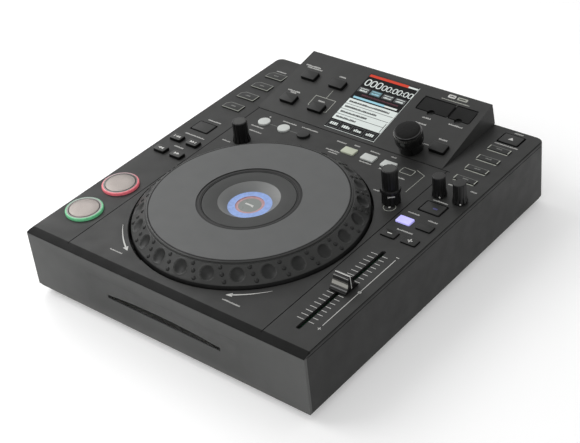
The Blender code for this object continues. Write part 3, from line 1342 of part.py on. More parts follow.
def build_encoder():
    """The browse knob and the shaft it turns on, which together press down."""
    bore_end = ENCODER_FLOAT + ENCODER_BORE_DEPTH
    bore = SHAFT_RADIUS + GAP
    rim = ENCODER_TOP_RADIUS
    profile = [
        (0, ENCODER_HEIGHT), (rim * 3 / 4, ENCODER_HEIGHT - MERGE_IN), (rim, ENCODER_HEIGHT - 3 * MERGE_IN),
        (ENCODER_BELLY_RADIUS, (ENCODER_HEIGHT + ENCODER_BELLY_HEIGHT * 2) / 3),
        (ENCODER_BELLY_RADIUS, ENCODER_BELLY_HEIGHT),
        (ENCODER_NECK_RADIUS, ENCODER_BELLY_HEIGHT * 3 / 4), (ENCODER_NECK_RADIUS, ENCODER_FLOAT),
        (bore, ENCODER_FLOAT), (bore, bore_end), (0, bore_end),
    ]
    place = (ENCODER_LEFT, ENCODER_LOW, 0)
    part("encoder_knob", turned(profile, ROUND_STEPS), KNOB_RUBBER, place, CONSOLE, True)
    low = -CONSOLE_BOARD_DEPTH + ENCODER_PUSH + 3 * GAP
    shaft = rod(SHAFT_RADIUS, low, bore_end - GAP, SMALL_STEPS)
    part("encoder_shaft", shaft, STEEL, place, CONSOLE)


def build_flaps():
    """Two flaps over the memory ports, each on pins along its upper edge."""
    axis_y, axis_z = flap_axis()
    half = FLAP_THICKNESS / 2
    for index, name in enumerate(("card_flap", "usb_flap")):
        left = FLAP_LEFTS[index] + FLAP_GAP / 2
        right = FLAP_LEFTS[index] + FLAP_WIDTHS[index] - FLAP_GAP / 2
        lip = FLAP_LOW + FLAP_GAP / 2 - axis_y
        outline = [(lip, half), (lip, -half)]
        for i in range(FLAP_ROUND_STEPS + 1):
            turn = math.pi * i / FLAP_ROUND_STEPS
            outline.append((half * math.sin(turn), -half * math.cos(turn)))
        leaf = plate(outline, 0, right - left, SIDE_VIEW)
        pins = across_rod(FLAP_PIN_RADIUS, -FLAP_PIN_LENGTH, right - left + FLAP_PIN_LENGTH, 0, 0)
        notch = rod(FLAP_NOTCH_RADIUS, -FLAP_THICKNESS, FLAP_THICKNESS, 2 * SMALL_STEPS)
        notch = moved(notch, ((right - left) / 2, FLAP_LOW - axis_y, 0))
        part(name, merged(leaf, (pins,), (notch,)), KEY_PLASTIC, (left, axis_y, axis_z), CONSOLE)


# Boards, drive and power supply

def build_control_board():
    """The board under the deck with its switches, potentiometers and fader."""
    rear = BODY_DEPTH - BOARD_EDGE
    under = -BOARD_DEPTH - BOARD_THICKNESS
    over = OVERRUN - BOARD_DEPTH
    board = block(at(BOARD_EDGE, JOG_FRONT_MARGIN, under), at(BODY_WIDTH - BOARD_EDGE, rear, -BOARD_DEPTH))
    well = rod(WELL_RADIUS + WALL * 2, under - OVERRUN, over, JOG_STEPS)
    notch = block(at(CONSOLE_LEFT - CONSOLE_WALL, CREASE - CONSOLE_WALL, under - OVERRUN),
                  at(CONSOLE_RIGHT + CONSOLE_WALL, rear + OVERRUN, over))
    base = merged(board, removed=(moved(well, at(JOG_X, JOG_Y)), notch))
    switch = centred_block(SWITCH_SIZE, SWITCH_SIZE, -BOARD_DEPTH - MERGE_IN, -BOARD_DEPTH + SWITCH_HEIGHT)
    spots = [(x, y) for _, _, x, y in deck_keys()] + [(x, y) for _, x, y, *_ in round_keys()]
    pieces = [moved(switch, at(x, y)) for x, y in spots]
    pot = centred_block(POT_SIZE, POT_SIZE, -BOARD_DEPTH - MERGE_IN, -BOARD_DEPTH + POT_HEIGHT)
    pieces += [moved(pot, at(x, y)) for _, x, y, _, _ in knobs()]
    middle = FADER_FRONT_MARGIN + FADER_SLOT_LENGTH / 2
    half = FADER_SLOT_LENGTH / 2 + FADER_FRAME_MARGIN
    rim = -BOARD_DEPTH + FADER_FRAME_HEIGHT
    frame = centred_block(FADER_FRAME_WIDTH, 2 * half, -BOARD_DEPTH - MERGE_IN, rim)
    pieces.append(moved(frame, at(RIGHT_COLUMN, middle)))
    inner = FADER_FRAME_WIDTH - 2 * FADER_FRAME_WALL
    channel = centred_block(inner, 2 * half - 2 * FADER_FRAME_WALL, -BOARD_DEPTH + FADER_FRAME_WALL,
                            rim - FADER_FRAME_WALL)
    mouth = centred_block(FADER_SLOT_WIDTH, 2 * half - 4 * FADER_FRAME_WALL, -BOARD_DEPTH + FADER_FRAME_WALL,
                          -BOARD_DEPTH + FADER_FRAME_HEIGHT + OVERRUN)
    cuts = (moved(channel, at(RIGHT_COLUMN, middle)), moved(mouth, at(RIGHT_COLUMN, middle)))
    part("control_board", merged(base, pieces, cuts), BOARD_GREEN)


def build_fader_cap():
    """The pitch fader's cap: a ridged grip on a thin stem with a carriage in the track."""
    slope = CAP_LENGTH / 2
    ridge = CAP_RIDGE / 2
    outline = [
        (-slope, CAP_FLOAT), (slope, CAP_FLOAT), (slope * 3 / 4, CAP_HEIGHT - CAP_FOOT_HEIGHT),
        (ridge, CAP_HEIGHT - CAP_RIDGE), (ridge, CAP_HEIGHT), (-ridge, CAP_HEIGHT),
        (-ridge, CAP_HEIGHT - CAP_RIDGE), (-slope * 3 / 4, CAP_HEIGHT - CAP_FOOT_HEIGHT),
    ]
    grip = plate(outline, -CAP_WIDTH / 2, CAP_WIDTH / 2, SIDE_VIEW)
    for vert in grip.vertices:
        vert.co.x -= math.copysign(CAP_SIDE_DRAFT * vert.co.z / CAP_HEIGHT, vert.co.x)
    low = -BOARD_DEPTH + FADER_FRAME_WALL + GAP
    high = -BOARD_DEPTH + FADER_FRAME_HEIGHT - FADER_FRAME_WALL - GAP
    stem = centred_block(CAP_STEM_WIDTH, CAP_STEM_LENGTH, high - MERGE_IN, CAP_FLOAT + MERGE_IN)
    carriage = centred_block(FADER_FRAME_WIDTH - 2 * FADER_FRAME_WALL - 2 * GAP, CAP_STEM_LENGTH, low, high)
    part("pitch_fader", merged(grip, joined=(stem, carriage)), KNOB_RUBBER, at(RIGHT_COLUMN, FADER_Y))


def tube_y(outer, inner, near, far, depth):
    """A socket barrel along Y with a blind hole in its rear end."""
    barrel = rod(outer, near, far, SMALL_STEPS)
    hole = rod(inner, far - depth, far + OVERRUN, SMALL_STEPS)
    turn = Matrix.Rotation(-math.pi / 2, 4, "X")
    barrel.transform(turn)
    hole.transform(turn)
    return barrel, hole


def build_main_board():
    """The main board with the audio, remote and data sockets along its rear edge."""
    top = LOW_BOARDS_TOP
    board = block(inside(MAIN_BOARD_LEFT, MAIN_BOARD_FRONT, STANDOFF_HEIGHT),
                  inside(MAIN_BOARD_RIGHT, LOW_BOARDS_REAR, top))
    pieces = []
    holes = []
    width, depth = JACK_BLOCK
    sockets = [(x, JACK_RADIUS, JACK_HOLE_RADIUS, JACK_PROUD) for x in RCA_FROM_RIGHT]
    sockets.append((REMOTE_FROM_RIGHT, REMOTE_RADIUS, JACK_HOLE_RADIUS, GAP))
    for from_right, outer, inner, proud in sockets:
        x = BODY_WIDTH - from_right
        pieces.append(block(inside(x - width / 2, LOW_BOARDS_REAR - depth, top - MERGE_IN),
                            inside(x + width / 2, LOW_BOARDS_REAR, JACK_CENTRE + width / 2)))
        barrel, hole = tube_y(outer, inner, LOW_BOARDS_REAR - MERGE_IN, BAY_WALL + proud, JACK_PROUD)
        pieces.append(moved(barrel, inside(x, 0, JACK_CENTRE)))
        holes.append(moved(hole, inside(x, 0, JACK_CENTRE)))
    x = BODY_WIDTH - USB_FROM_RIGHT
    half, high = USB_SIZE[0] / 2, USB_SIZE[1] / 2
    pieces.append(block(inside(x - half - MERGE_IN, LOW_BOARDS_REAR - depth, top - MERGE_IN),
                        inside(x + half + MERGE_IN, LOW_BOARDS_REAR, JACK_CENTRE + high + MERGE_IN)))
    pieces.append(block(inside(x - half, LOW_BOARDS_REAR - MERGE_IN, JACK_CENTRE - high),
                        inside(x + half, BAY_WALL + USB_WALL, JACK_CENTRE + high)))
    part("main_board", merged(board, pieces, holes + usb_hollow(x, half, high)), BOARD_GREEN)


def usb_hollow(x, half, high):
    """The mouth of the data socket: four cuts that leave a tongue in the middle."""
    near = BAY_WALL + USB_WALL - JACK_PROUD
    far = BAY_WALL + OVERRUN * 2
    tongue = USB_TONGUE / 2
    left = x - half + USB_WALL
    right = x + half - USB_WALL
    above = (JACK_CENTRE + tongue, JACK_CENTRE + high - USB_WALL)
    below = (JACK_CENTRE - high + USB_WALL, JACK_CENTRE - tongue)
    return [block(inside(left, near, low), inside(right, far, top)) for low, top in (above, below)]


def build_power_supply():
    """The supply's board with transformer, capacitors, heatsink, mains inlet and switch."""
    top = LOW_BOARDS_TOP
    right = SUPPLY_LEFT + SUPPLY_WIDTH
    board = block(inside(SUPPLY_LEFT, SUPPLY_FRONT, STANDOFF_HEIGHT), inside(right, LOW_BOARDS_REAR, top))
    edge = 3 * STANDOFF_RADIUS
    core = (SUPPLY_LEFT + edge + TRANSFORMER[0] / 2, SUPPLY_FRONT + edge + TRANSFORMER[1] / 2)
    pieces = [block(inside(core[0] - TRANSFORMER[0] / 2, core[1] - TRANSFORMER[1] / 2, top - MERGE_IN),
                    inside(core[0] + TRANSFORMER[0] / 2, core[1] + TRANSFORMER[1] / 2, top + TRANSFORMER[2]),
                    STANDOFF_RADIUS / 2)]
    for i in range(2):
        can = rod(CAPACITOR_RADIUS, top - MERGE_IN, top + CAPACITOR_HEIGHT, 2 * SMALL_STEPS)
        x = core[0] + TRANSFORMER[0] / 2 + (2 * i + 1) * CAPACITOR_RADIUS * 3 / 2
        pieces.append(moved(can, inside(x, core[1], 0)))
    sink_y = core[1] + TRANSFORMER[1] / 2 + edge
    pieces.append(block(inside(SUPPLY_LEFT + edge, sink_y, top - MERGE_IN),
                        inside(SUPPLY_LEFT + edge + HEATSINK[0], sink_y + HEATSINK[1], top + HEATSINK[2])))
    low, high = inlet_body()
    pieces.append(block(low, high))
    leg = STANDOFF_RADIUS * 2
    pieces.append(block((low.x, low.y, inside(0, 0, top - MERGE_IN).z),
                        (high.x, low.y + leg * 2, low.z + MERGE_IN)))
    rim = Vector((INLET_FLANGE, 0, INLET_FLANGE))
    wall = inside(0, BAY_WALL + GAP, 0).y
    pieces.append(block((low.x - rim.x, wall, low.z - rim.z),
                        (high.x + rim.x, wall + INLET_FLANGE_THICKNESS, high.z + rim.z)))
    body = merged(board, pieces, (inlet_hollow(), rocker_pocket()))
    part("power_supply", merged(body, joined=inlet_pins()), BOARD_GREEN)


def inlet_hollow():
    """The inlet's hollow with its two cut upper corners."""
    half_x, half_z = INLET_HOLLOW[0] / 2, INLET_HOLLOW[1] / 2
    outline = [
        (-half_x, -half_z), (half_x, -half_z), (half_x, half_z - INLET_CUT), (half_x - INLET_CUT, half_z),
        (INLET_CUT - half_x, half_z), (-half_x, half_z - INLET_CUT),
    ]
    face = INLET_FACE
    frame = Matrix.Translation((INLET_FROM_LEFT - BODY_WIDTH / 2, 0, EDGE_HEIGHT + INLET_CENTRE)) @ FRONT_VIEW
    return plate(outline, BODY_DEPTH / 2 - face - OVERRUN, BODY_DEPTH / 2 - face + INLET_DEPTH, frame)


def inlet_pins():
    """Earth above, live and neutral below, standing in the hollow's floor."""
    width, height = INLET_PIN
    floor = INLET_FACE - INLET_DEPTH - MERGE_IN
    tip = INLET_FACE - INLET_PIN_SETBACK
    pins = []
    spots = [(0, INLET_EARTH_RISE), (-INLET_PIN_PITCH, -INLET_PIN_DROP), (INLET_PIN_PITCH, -INLET_PIN_DROP)]
    for x, z in spots:
        centre_x = INLET_FROM_LEFT + x
        centre_z = INLET_CENTRE + z
        pins.append(block(inside(centre_x - width / 2, floor, centre_z - height / 2),
                          inside(centre_x + width / 2, tip, centre_z + height / 2)))
    return pins


def rocker_pocket():
    half_x = ROCKER_SIZE[0] / 2 + GAP
    half_z = ROCKER_SIZE[1] / 2 + ROCKER_GAP
    face = INLET_FACE
    return block(inside(ROCKER_X - half_x, face - ROCKER_DEPTH - ROCKER_GAP, INLET_CENTRE - half_z),
                 inside(ROCKER_X + half_x, face + OVERRUN, INLET_CENTRE + half_z))


def build_rocker():
    """The mains switch's rocker, tilted to off about an axis behind the flange's face."""
    half_x, half_z = ROCKER_SIZE[0] / 2, ROCKER_SIZE[1] / 2
    dip = half_z * math.tan(ROCKER_TILT)
    back = ROCKER_DEPTH / 2
    outline = [
        (dip, -half_z * 7 / 8), (0, 0), (dip, half_z * 7 / 8), (-back, half_z / 2), (-back, -half_z / 2),
    ]
    mesh = plate(outline, -half_x, half_x, SIDE_VIEW @ Matrix.Translation((ROCKER_DEPTH / 4, 0, 0)))
    rocker = part("power_rocker", mesh, KEY_PLASTIC,
                  inside(ROCKER_X, INLET_FACE - ROCKER_DEPTH / 4, INLET_CENTRE))
    rocker.rotation_euler.x = ROCKER_TILT


def build_disc_drive():
    """The slot-in drive: a flat case with a cavity for the disc, open at the front."""
    centre = BODY_WIDTH / 2
    low = inside(centre - DRIVE_WIDTH / 2, DRIVE_FRONT, DRIVE_BOTTOM)
    high = inside(centre + DRIVE_WIDTH / 2, DRIVE_FRONT + DRIVE_LENGTH, DRIVE_TOP)
    cavity = block(inside(centre - DRIVE_CAVITY_HALF_WIDTH, DRIVE_FRONT - OVERRUN, SLOT_BOTTOM),
                   inside(centre + DRIVE_CAVITY_HALF_WIDTH, DRIVE_FRONT + DRIVE_CAVITY_LENGTH,
                          SLOT_BOTTOM + DRIVE_CAVITY_HEIGHT))
    motor = rod(SPINDLE_MOTOR_RADIUS, DRIVE_BOTTOM - SPINDLE_MOTOR_DROP, DRIVE_BOTTOM + MERGE_IN, ROUND_STEPS)
    motor = moved(motor, inside(centre, DRIVE_FRONT + DRIVE_CAVITY_LENGTH / 2, 0))
    part("disc_drive", merged(block(low, high), (motor,), (cavity,)), STEEL)


build_top_cover()
build_front_panel()
build_bottom_tray()
build_feet()
build_console_housing()
build_display_module()
build_console_keys()
build_encoder()
build_flaps()
build_deck_keys()
build_round_keys()
build_knobs()
build_jog_ring()
build_jog_plate()
build_jog_post()
build_jog_display()
build_control_board()
build_fader_cap()
build_main_board()
build_power_supply()
build_rocker()
build_disc_drive()
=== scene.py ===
"""Looks for a tabletop disc player: finishes, lit rings, screen, prints and fine forms.

Metres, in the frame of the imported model. Flat marks are placed in millimetres on the
face that carries them: the deck from its front left corner, the console from the foot
of its left wall with Y up its slope, and a key or the wheel from its own centre.
"""

import random
from math import atan2, copysign, cos, exp, hypot, pi, radians, sin, tau

import bmesh
import bpy
from mathutils import Matrix, Vector

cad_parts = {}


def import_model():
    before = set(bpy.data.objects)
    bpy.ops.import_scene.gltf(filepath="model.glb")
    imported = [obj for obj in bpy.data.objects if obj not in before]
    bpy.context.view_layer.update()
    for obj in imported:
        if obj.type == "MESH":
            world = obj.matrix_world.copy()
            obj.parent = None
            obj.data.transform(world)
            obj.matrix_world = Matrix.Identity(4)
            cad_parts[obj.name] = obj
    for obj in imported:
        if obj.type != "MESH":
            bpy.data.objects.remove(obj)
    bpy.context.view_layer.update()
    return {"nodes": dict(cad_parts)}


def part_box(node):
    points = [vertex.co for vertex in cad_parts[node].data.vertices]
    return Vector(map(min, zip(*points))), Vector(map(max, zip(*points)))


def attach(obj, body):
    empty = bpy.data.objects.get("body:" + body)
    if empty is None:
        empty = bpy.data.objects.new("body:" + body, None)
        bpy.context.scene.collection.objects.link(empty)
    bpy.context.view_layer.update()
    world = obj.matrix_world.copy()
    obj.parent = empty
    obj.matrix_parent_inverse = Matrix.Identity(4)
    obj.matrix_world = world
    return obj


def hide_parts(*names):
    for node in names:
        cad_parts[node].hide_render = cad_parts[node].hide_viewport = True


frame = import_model()
NODES = frame["nodes"]

# Units and the casing's own places
MM = 0.001
COVER_LOW, COVER_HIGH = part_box("top_cover")
DECK = 0.0714
CONSOLE_RUN = 0.0920
CONSOLE_RISE = 0.0208
CONSOLE_LEFT_INSET = 0.0460
CONSOLE_SLOPE = atan2(CONSOLE_RISE, CONSOLE_RUN)
DECK_CORNER = Vector((COVER_LOW.x, COVER_LOW.y, DECK))
DECK_FACE = Matrix.Translation(DECK_CORNER)
CONSOLE_FACE = (Matrix.Translation((COVER_LOW.x + CONSOLE_LEFT_INSET, COVER_HIGH.y - CONSOLE_RUN, DECK))
                @ Matrix.Rotation(CONSOLE_SLOPE, 4, "X"))

# Camera, measured from the photograph's perspective
CAMERA_PLACE = Vector((0.7167, -0.7838, 0.7813))
CAMERA_BACK = Vector((0.5529, -0.6001, 0.5781))
CAMERA_UP = Vector((-0.3048, 0.5001, 0.8106))
CAMERA_LENS = 85.26
CAMERA_SENSOR = 36

# Fine forms
SMOOTH_ANGLE = radians(35)
MERGE = 0.000001
INK = 0.05
INK_SUNK = 0.03
KEY_FLANGE = 0.0012
KEY_DEPTH = 0.0024
KEY_ROUNDING = (0.0011, 0.0005)
CLUSTER_ROUNDING = (0.0013, 0.0007)
SQUARE_ROUNDING = (0.0013, 0.0004)
OUTLINED_ROUNDING = (0.0006, 0.0003)
CONSOLE_ROUNDING = (0.0012, 0.0006)
CORNER_STEPS = 4
RIM_STEPS = 3
DISC_STEPS = 24
RING_STEPS = 48


# Materials

# Where the lit rings take a painted sheen: paler towards their rear left.
PAINTED_SHEEN_SIDE = (-0.72, 0.69, 0)
PAINTED_SHEEN_REACH = (0.002, 0.015)
NOISE_MIDDLE = (0.3, 0.7)
WORN_EDGE = (0.54, 0.66)
WORN_TONE = 2.2
ROLLED_STRETCH = 14


def new_material(name):
    paint = bpy.data.materials.new(name)
    paint.use_nodes = True
    tree = paint.node_tree
    return paint, tree, tree.nodes["Principled BSDF"]


def feed(tree, item, inputs):
    """Gives each named input of a node its constant or the output that feeds it."""
    for key, value in inputs.items():
        if isinstance(value, bpy.types.NodeSocket):
            tree.links.new(value, item.inputs[key])
        else:
            item.inputs[key].default_value = value


def add(tree, kind, inputs=None, **settings):
    item = tree.nodes.new(kind)
    for key, value in settings.items():
        setattr(item, key, value)
    feed(tree, item, inputs or {})
    return item


def noise(tree, scale, detail=2, roughness=0.5):
    """Noise in the piece's own coordinates, with its grain given as 1 / metres."""
    place = add(tree, "ShaderNodeTexCoord").outputs["Object"]
    inputs = {"Vector": place, "Scale": scale, "Detail": detail, "Roughness": roughness}
    return add(tree, "ShaderNodeTexNoise", inputs).outputs["Fac"]


def ranged(tree, source, low, high, start=0, end=1):
    """A value carried from one range to another."""
    inputs = {"Value": source, "From Min": start, "From Max": end, "To Min": low, "To Max": high}
    return add(tree, "ShaderNodeMapRange", inputs).outputs["Result"]


def spread(tree, source, low, high):
    """The middle of a noise's range stretched to run from low to high."""
    return ranged(tree, source, low, high, *NOISE_MIDDLE)


def around(tree, source, middle, reach):
    return spread(tree, source, middle - reach, middle + reach)


def mixed(tree, factor, first, second):
    """A colour between two others; each is a colour or an output."""
    first, second = ((*value, 1) if isinstance(value, tuple) else value for value in (first, second))
    return add(tree, "ShaderNodeMix", {"Factor": factor, 6: first, 7: second}, data_type="RGBA").outputs[2]


def bumped(tree, shader, height, distance):
    bump = add(tree, "ShaderNodeBump", {"Height": height, "Distance": distance})
    feed(tree, shader, {"Normal": bump.outputs["Normal"]})


def shade(colour, factor):
    return tuple(value * factor for value in colour)


def toned(tree, source, colour, low, high):
    """A colour that a noise carries between two shares of itself."""
    return mixed(tree, spread(tree, source, 0, 1), shade(colour, low), shade(colour, high))


def larger(tree, first, second):
    return add(tree, "ShaderNodeMath", {0: first, 1: second}, operation="MAXIMUM").outputs[0]


def plastic(name, colour, rough, grain=0.0004, depth=0.00001, mottle=0.07, wear=0.0, specular=0.22, coat=0.0):
    """Moulded plastic: fine spark grain, broad tone and gloss changes, paler worn edges."""
    paint, tree, shader = new_material(name)
    fine = noise(tree, 1 / grain, 2)
    tone = toned(tree, noise(tree, 18, 4, 0.6), colour, 1 - mottle, 1 + mottle)
    if wear:
        form = add(tree, "ShaderNodeNewGeometry").outputs["Pointiness"]
        tone = mixed(tree, ranged(tree, form, 0, wear, *WORN_EDGE), tone, shade(colour, WORN_TONE))
    gloss = around(tree, noise(tree, 60, 3), rough, 0.05)
    feed(tree, shader, {"Base Color": tone, "Roughness": gloss, "Specular IOR Level": specular})
    if coat:
        feed(tree, shader, {"Coat Weight": coat, "Coat Roughness": 0.12})
    bumped(tree, shader, fine, depth)
    return paint


def metal(name, colour, rough, grain=0.0005, depth=0.00001, rings=False):
    """Metal with a rolled or turned grain."""
    paint, tree, shader = new_material(name)
    place = add(tree, "ShaderNodeTexCoord").outputs["Object"]
    if rings:
        inputs = {"Vector": place, "Scale": 1 / grain / tau,
                  "Distortion": 2.5, "Detail": 3, "Detail Scale": 40}
        lines = add(tree, "ShaderNodeTexWave", inputs, wave_type="RINGS", rings_direction="Z")
    else:
        inputs = {"Vector": place, "Scale": (1, ROLLED_STRETCH, ROLLED_STRETCH)}
        drawn = add(tree, "ShaderNodeMapping", inputs).outputs["Vector"]
        lines = add(tree, "ShaderNodeTexNoise", {"Vector": drawn, "Scale": 1 / grain / ROLLED_STRETCH})
    height = lines.outputs["Fac"]
    tone = toned(tree, noise(tree, 1 / grain, 3), colour, 0.86, 1.1)
    feed(tree, shader, {"Metallic": 1, "Base Color": tone, "Roughness": around(tree, height, rough, 0.07)})
    bumped(tree, shader, height, depth)
    return paint


def lit(name, colour, strength, rough=0.4, uneven=0.12, pale=None):
    """A translucent piece lit from inside, uneven, and paler at its rear left where a pale colour is given: a
    painted sheen.
    """
    paint, tree, shader = new_material(name)
    tone = toned(tree, noise(tree, 350, 2), colour, 1 - uneven, 1 + uneven)
    # Painted sheen: the colour turns pale towards the rear left.
    if pale:
        place = add(tree, "ShaderNodeTexCoord").outputs["Object"]
        across = add(tree, "ShaderNodeVectorMath", {0: place, 1: PAINTED_SHEEN_SIDE}, operation="DOT_PRODUCT")
        tone = mixed(tree, ranged(tree, across.outputs["Value"], 0, 1, *PAINTED_SHEEN_REACH), tone, pale)
    gloss = around(tree, noise(tree, 120, 2), rough, 0.04)
    feed(tree, shader, {"Base Color": tone, "Roughness": gloss,
                        "Emission Color": tone, "Emission Strength": strength})
    return paint


def ink(name, colour, rough=0.55, glow=0.0, specular=0.3):
    """Screen-printed ink, thinner in places."""
    paint, tree, shader = new_material(name)
    tone = toned(tree, noise(tree, 900, 3), colour, 0.82, 1)
    gloss = around(tree, noise(tree, 300, 2), rough, 0.06)
    feed(tree, shader, {"Base Color": tone, "Roughness": gloss, "Specular IOR Level": specular})
    if glow:
        feed(tree, shader, {"Emission Color": tone, "Emission Strength": glow})
    return paint


def glass(name, colour, rough=0.08):
    """Smeared dark glass with a clear coat."""
    paint, tree, shader = new_material(name)
    smear = noise(tree, 40, 4, 0.6)
    feed(tree, shader, {"Base Color": toned(tree, smear, colour, 1, 1.3), "Coat Weight": 0.5,
                        "Coat Roughness": 0.04, "Roughness": spread(tree, smear, rough, rough + 0.07)})
    return paint


DECK_PLASTIC = plastic("deck_finish", (0.0194, 0.0196, 0.0190), 0.52, wear=0.3, depth=0.00002)
PANEL_PLASTIC = plastic("panel_finish", (0.067, 0.068, 0.0665), 0.5, wear=0.25, depth=0.00002)
CONSOLE_PLASTIC = plastic("console_finish", (0.0215, 0.0217, 0.0210), 0.5, wear=0.3, depth=0.00002)
KEY_BLACK = plastic("key_finish", (0.010, 0.0103, 0.0097), 0.42, wear=0.3)
KEY_GREY = plastic("key_top_finish", (0.025, 0.0255, 0.0243), 0.42, wear=0.2)
# Painted shade: a darker copy of the key plastics for the keys' sides.
KEY_SIDE_PAINTED_SHADE = plastic("key_side_painted_shade", (0.0035, 0.0035, 0.0034), 0.45, specular=0.1)
FLAP_BLACK = plastic("flap_finish", (0.0045, 0.0046, 0.0044), 0.5, wear=0.2, specular=0.1)
FLUSH_KEY = plastic("flush_key_finish", (0.0205, 0.0208, 0.0202), 0.5, wear=0.2)
WHITE_KEY = plastic("white_key_finish", (0.50, 0.52, 0.50), 0.4, depth=0.000005, mottle=0.04)
CREAM_KEY = plastic("cream_key_finish", (0.46, 0.49, 0.39), 0.4, depth=0.000005, mottle=0.04)
LILAC_KEY = lit("lilac_key_finish", (0.4, 0.38, 0.8), 0.55, uneven=0.05)
KNOB_RUBBER = plastic("knob_finish", (0.007, 0.007, 0.007), 0.34, wear=0.2)
KNOB_TOP = plastic("knob_top_finish", (0.042, 0.043, 0.041), 0.5)
DARK_TOP = plastic("dark_top_finish", (0.013, 0.013, 0.0125), 0.45)
# Painted highlight for the fader cap's hollowed slopes, full and soft.
CAP_PAINTED_HIGHLIGHT = plastic("cap_painted_highlight", (0.34, 0.335, 0.31), 0.35, depth=0.000003)
CAP_PAINTED_SOFT_HIGHLIGHT = plastic("cap_painted_soft_highlight", (0.07, 0.069, 0.064), 0.35, depth=0.000003)
GLOSS_BLACK = plastic("gloss_finish", (0.003, 0.003, 0.003), 0.2, depth=0.000003, specular=0.35, coat=0.35)
DOME_GREY = plastic("dome_finish", (0.006, 0.006, 0.0058), 0.3, specular=0.07)
JOG_RUBBER = plastic("jog_rim_finish", (0.027, 0.0275, 0.0265), 0.42, grain=0.0006, depth=0.00002, wear=0.25)
# Painted shade: a darker copy of the rim's rubber, for the dimples' hollows and the studs.
JOG_PAINTED_SHADE = plastic("jog_rubber_painted_shade", (0.012, 0.0123, 0.0118), 0.46, specular=0.2)
JOG_STEP = plastic("jog_step_finish", (0.014, 0.014, 0.0135), 0.45)
# Near black for the wheel's hidden faces and walls; on the rim's outer wall and on a band at the plate's outer
# edge it is painted shade of the gaps there.
JOG_SKIRT_AND_GAP_SHADE = plastic("jog_skirt_and_painted_gap_shade", (0.006, 0.006, 0.006), 0.5, grain=0.0006, depth=0.00002)
JOG_DISC = plastic("jog_disc_finish", (0.084, 0.086, 0.0855), 0.5, grain=0.0005, depth=0.00002, mottle=0.03)
JOG_ANNULUS = plastic("jog_annulus_finish", (0.027, 0.028, 0.027), 0.42)
JOG_CONE = plastic("jog_cone_finish", (0.155, 0.158, 0.155), 0.36, depth=0.000005, mottle=0.05)
JOG_CORE = plastic("jog_core_finish", (0.20, 0.215, 0.205), 0.3, depth=0.000004, mottle=0.12)
FOOT_RUBBER = plastic("foot_finish", (0.012, 0.012, 0.012), 0.85, grain=0.0008, depth=0.00006)
TRAY_STEEL = plastic("tray_finish", (0.016, 0.016, 0.016), 0.6, grain=0.0006, depth=0.00003)
BRUSHED = metal("transport_finish", (0.225, 0.203, 0.190), 0.5, depth=0.00002, rings=True)
DARK_CHROME = metal("dark_chrome_finish", (0.07, 0.068, 0.065), 0.16, depth=0.000002)
BAND_CHROME = metal("band_chrome_finish", (0.13, 0.128, 0.125), 0.2, depth=0.000002)
STEEL = metal("steel_finish", (0.55, 0.55, 0.54), 0.36)
LACQUER = (0.02, 0.1, 0.045)
BOARD_GREEN = plastic("board_finish", LACQUER, 0.4, grain=0.002, depth=0.00003, mottle=0.2)
MAIN_BOARD = plastic("main_board_finish", (0.014, 0.014, 0.014), 0.4)
SUPPLY_BOARD = plastic("supply_board_finish", (0.012, 0.012, 0.012), 0.45)
BLACK_GLASS = glass("screen_finish", (0.006, 0.006, 0.007))
SOCKET_BLACK = plastic("socket_finish", (0.012, 0.012, 0.012), 0.45)
SOCKET_RED = plastic("socket_red_finish", (0.35, 0.02, 0.02), 0.4)
SOCKET_WHITE = plastic("socket_white_finish", (0.5, 0.5, 0.48), 0.4)
# The pale colours of the play and cue rings are a painted sheen on their rear left.
PLAY_GREEN = lit("play_ring_finish", (0.08, 0.30, 0.145), 0.55, uneven=0.2, pale=(0.15, 0.215, 0.175))
CUE_RED = lit("cue_ring_finish", (0.44, 0.088, 0.108), 0.55, uneven=0.2, pale=(0.24, 0.155, 0.165))
RING_BLUE = lit("blue_ring_finish", (0.155, 0.235, 0.46), 0.38)
RING_RED = lit("red_ring_finish", (0.30, 0.17, 0.18), 0.25)
LAMP_BLUE = lit("blue_lamp_finish", (0.02, 0.02, 0.085), 0.5)
WHITE_INK = ink("white_ink", (0.58, 0.58, 0.56))
# Grey ink for labels, also used for painted highlights on the fader cap's ridge.
LABEL_INK_AND_HIGHLIGHT = ink("label_ink_and_painted_highlight", (0.43, 0.43, 0.415))
GREY_INK = ink("grey_ink", (0.17, 0.175, 0.165))
PALE_INK = ink("pale_ink", (0.36, 0.37, 0.33))
FRAME_INK = ink("frame_ink", (0.22, 0.23, 0.20))
# Black ink for prints and joints, also used for a painted shade at the jog wheel's well.
BLACK_INK_AND_SHADE = ink("black_ink_and_painted_shade", (0.004, 0.004, 0.004), 0.7, specular=0.02)
SCREEN_WHITE = ink("screen_white", (0.54, 0.58, 0.56), 0.3, 0.35, 0.1)
SCREEN_RED = ink("screen_red", (0.42, 0.035, 0.016), 0.3, 0.5, 0.1)
SCREEN_CYAN = ink("screen_cyan", (0.24, 0.45, 0.53), 0.3, 0.4, 0.1)
SCREEN_GREY = ink("screen_grey", (0.075, 0.08, 0.082), 0.3, 0.15, 0.1)
SCREEN_TEAL = ink("screen_teal", (0.10, 0.17, 0.19), 0.3, 0.15, 0.1)
SCREEN_DARK = ink("screen_dark", (0.03, 0.03, 0.032), 0.3, specular=0.1)
SCREEN_BACK = plastic("screen_back", (0.003, 0.003, 0.0032), 0.6, depth=0.000003, specular=0.1)
SCREEN_WINE = ink("screen_wine", (0.09, 0.03, 0.042), 0.3, 0.1, 0.1)


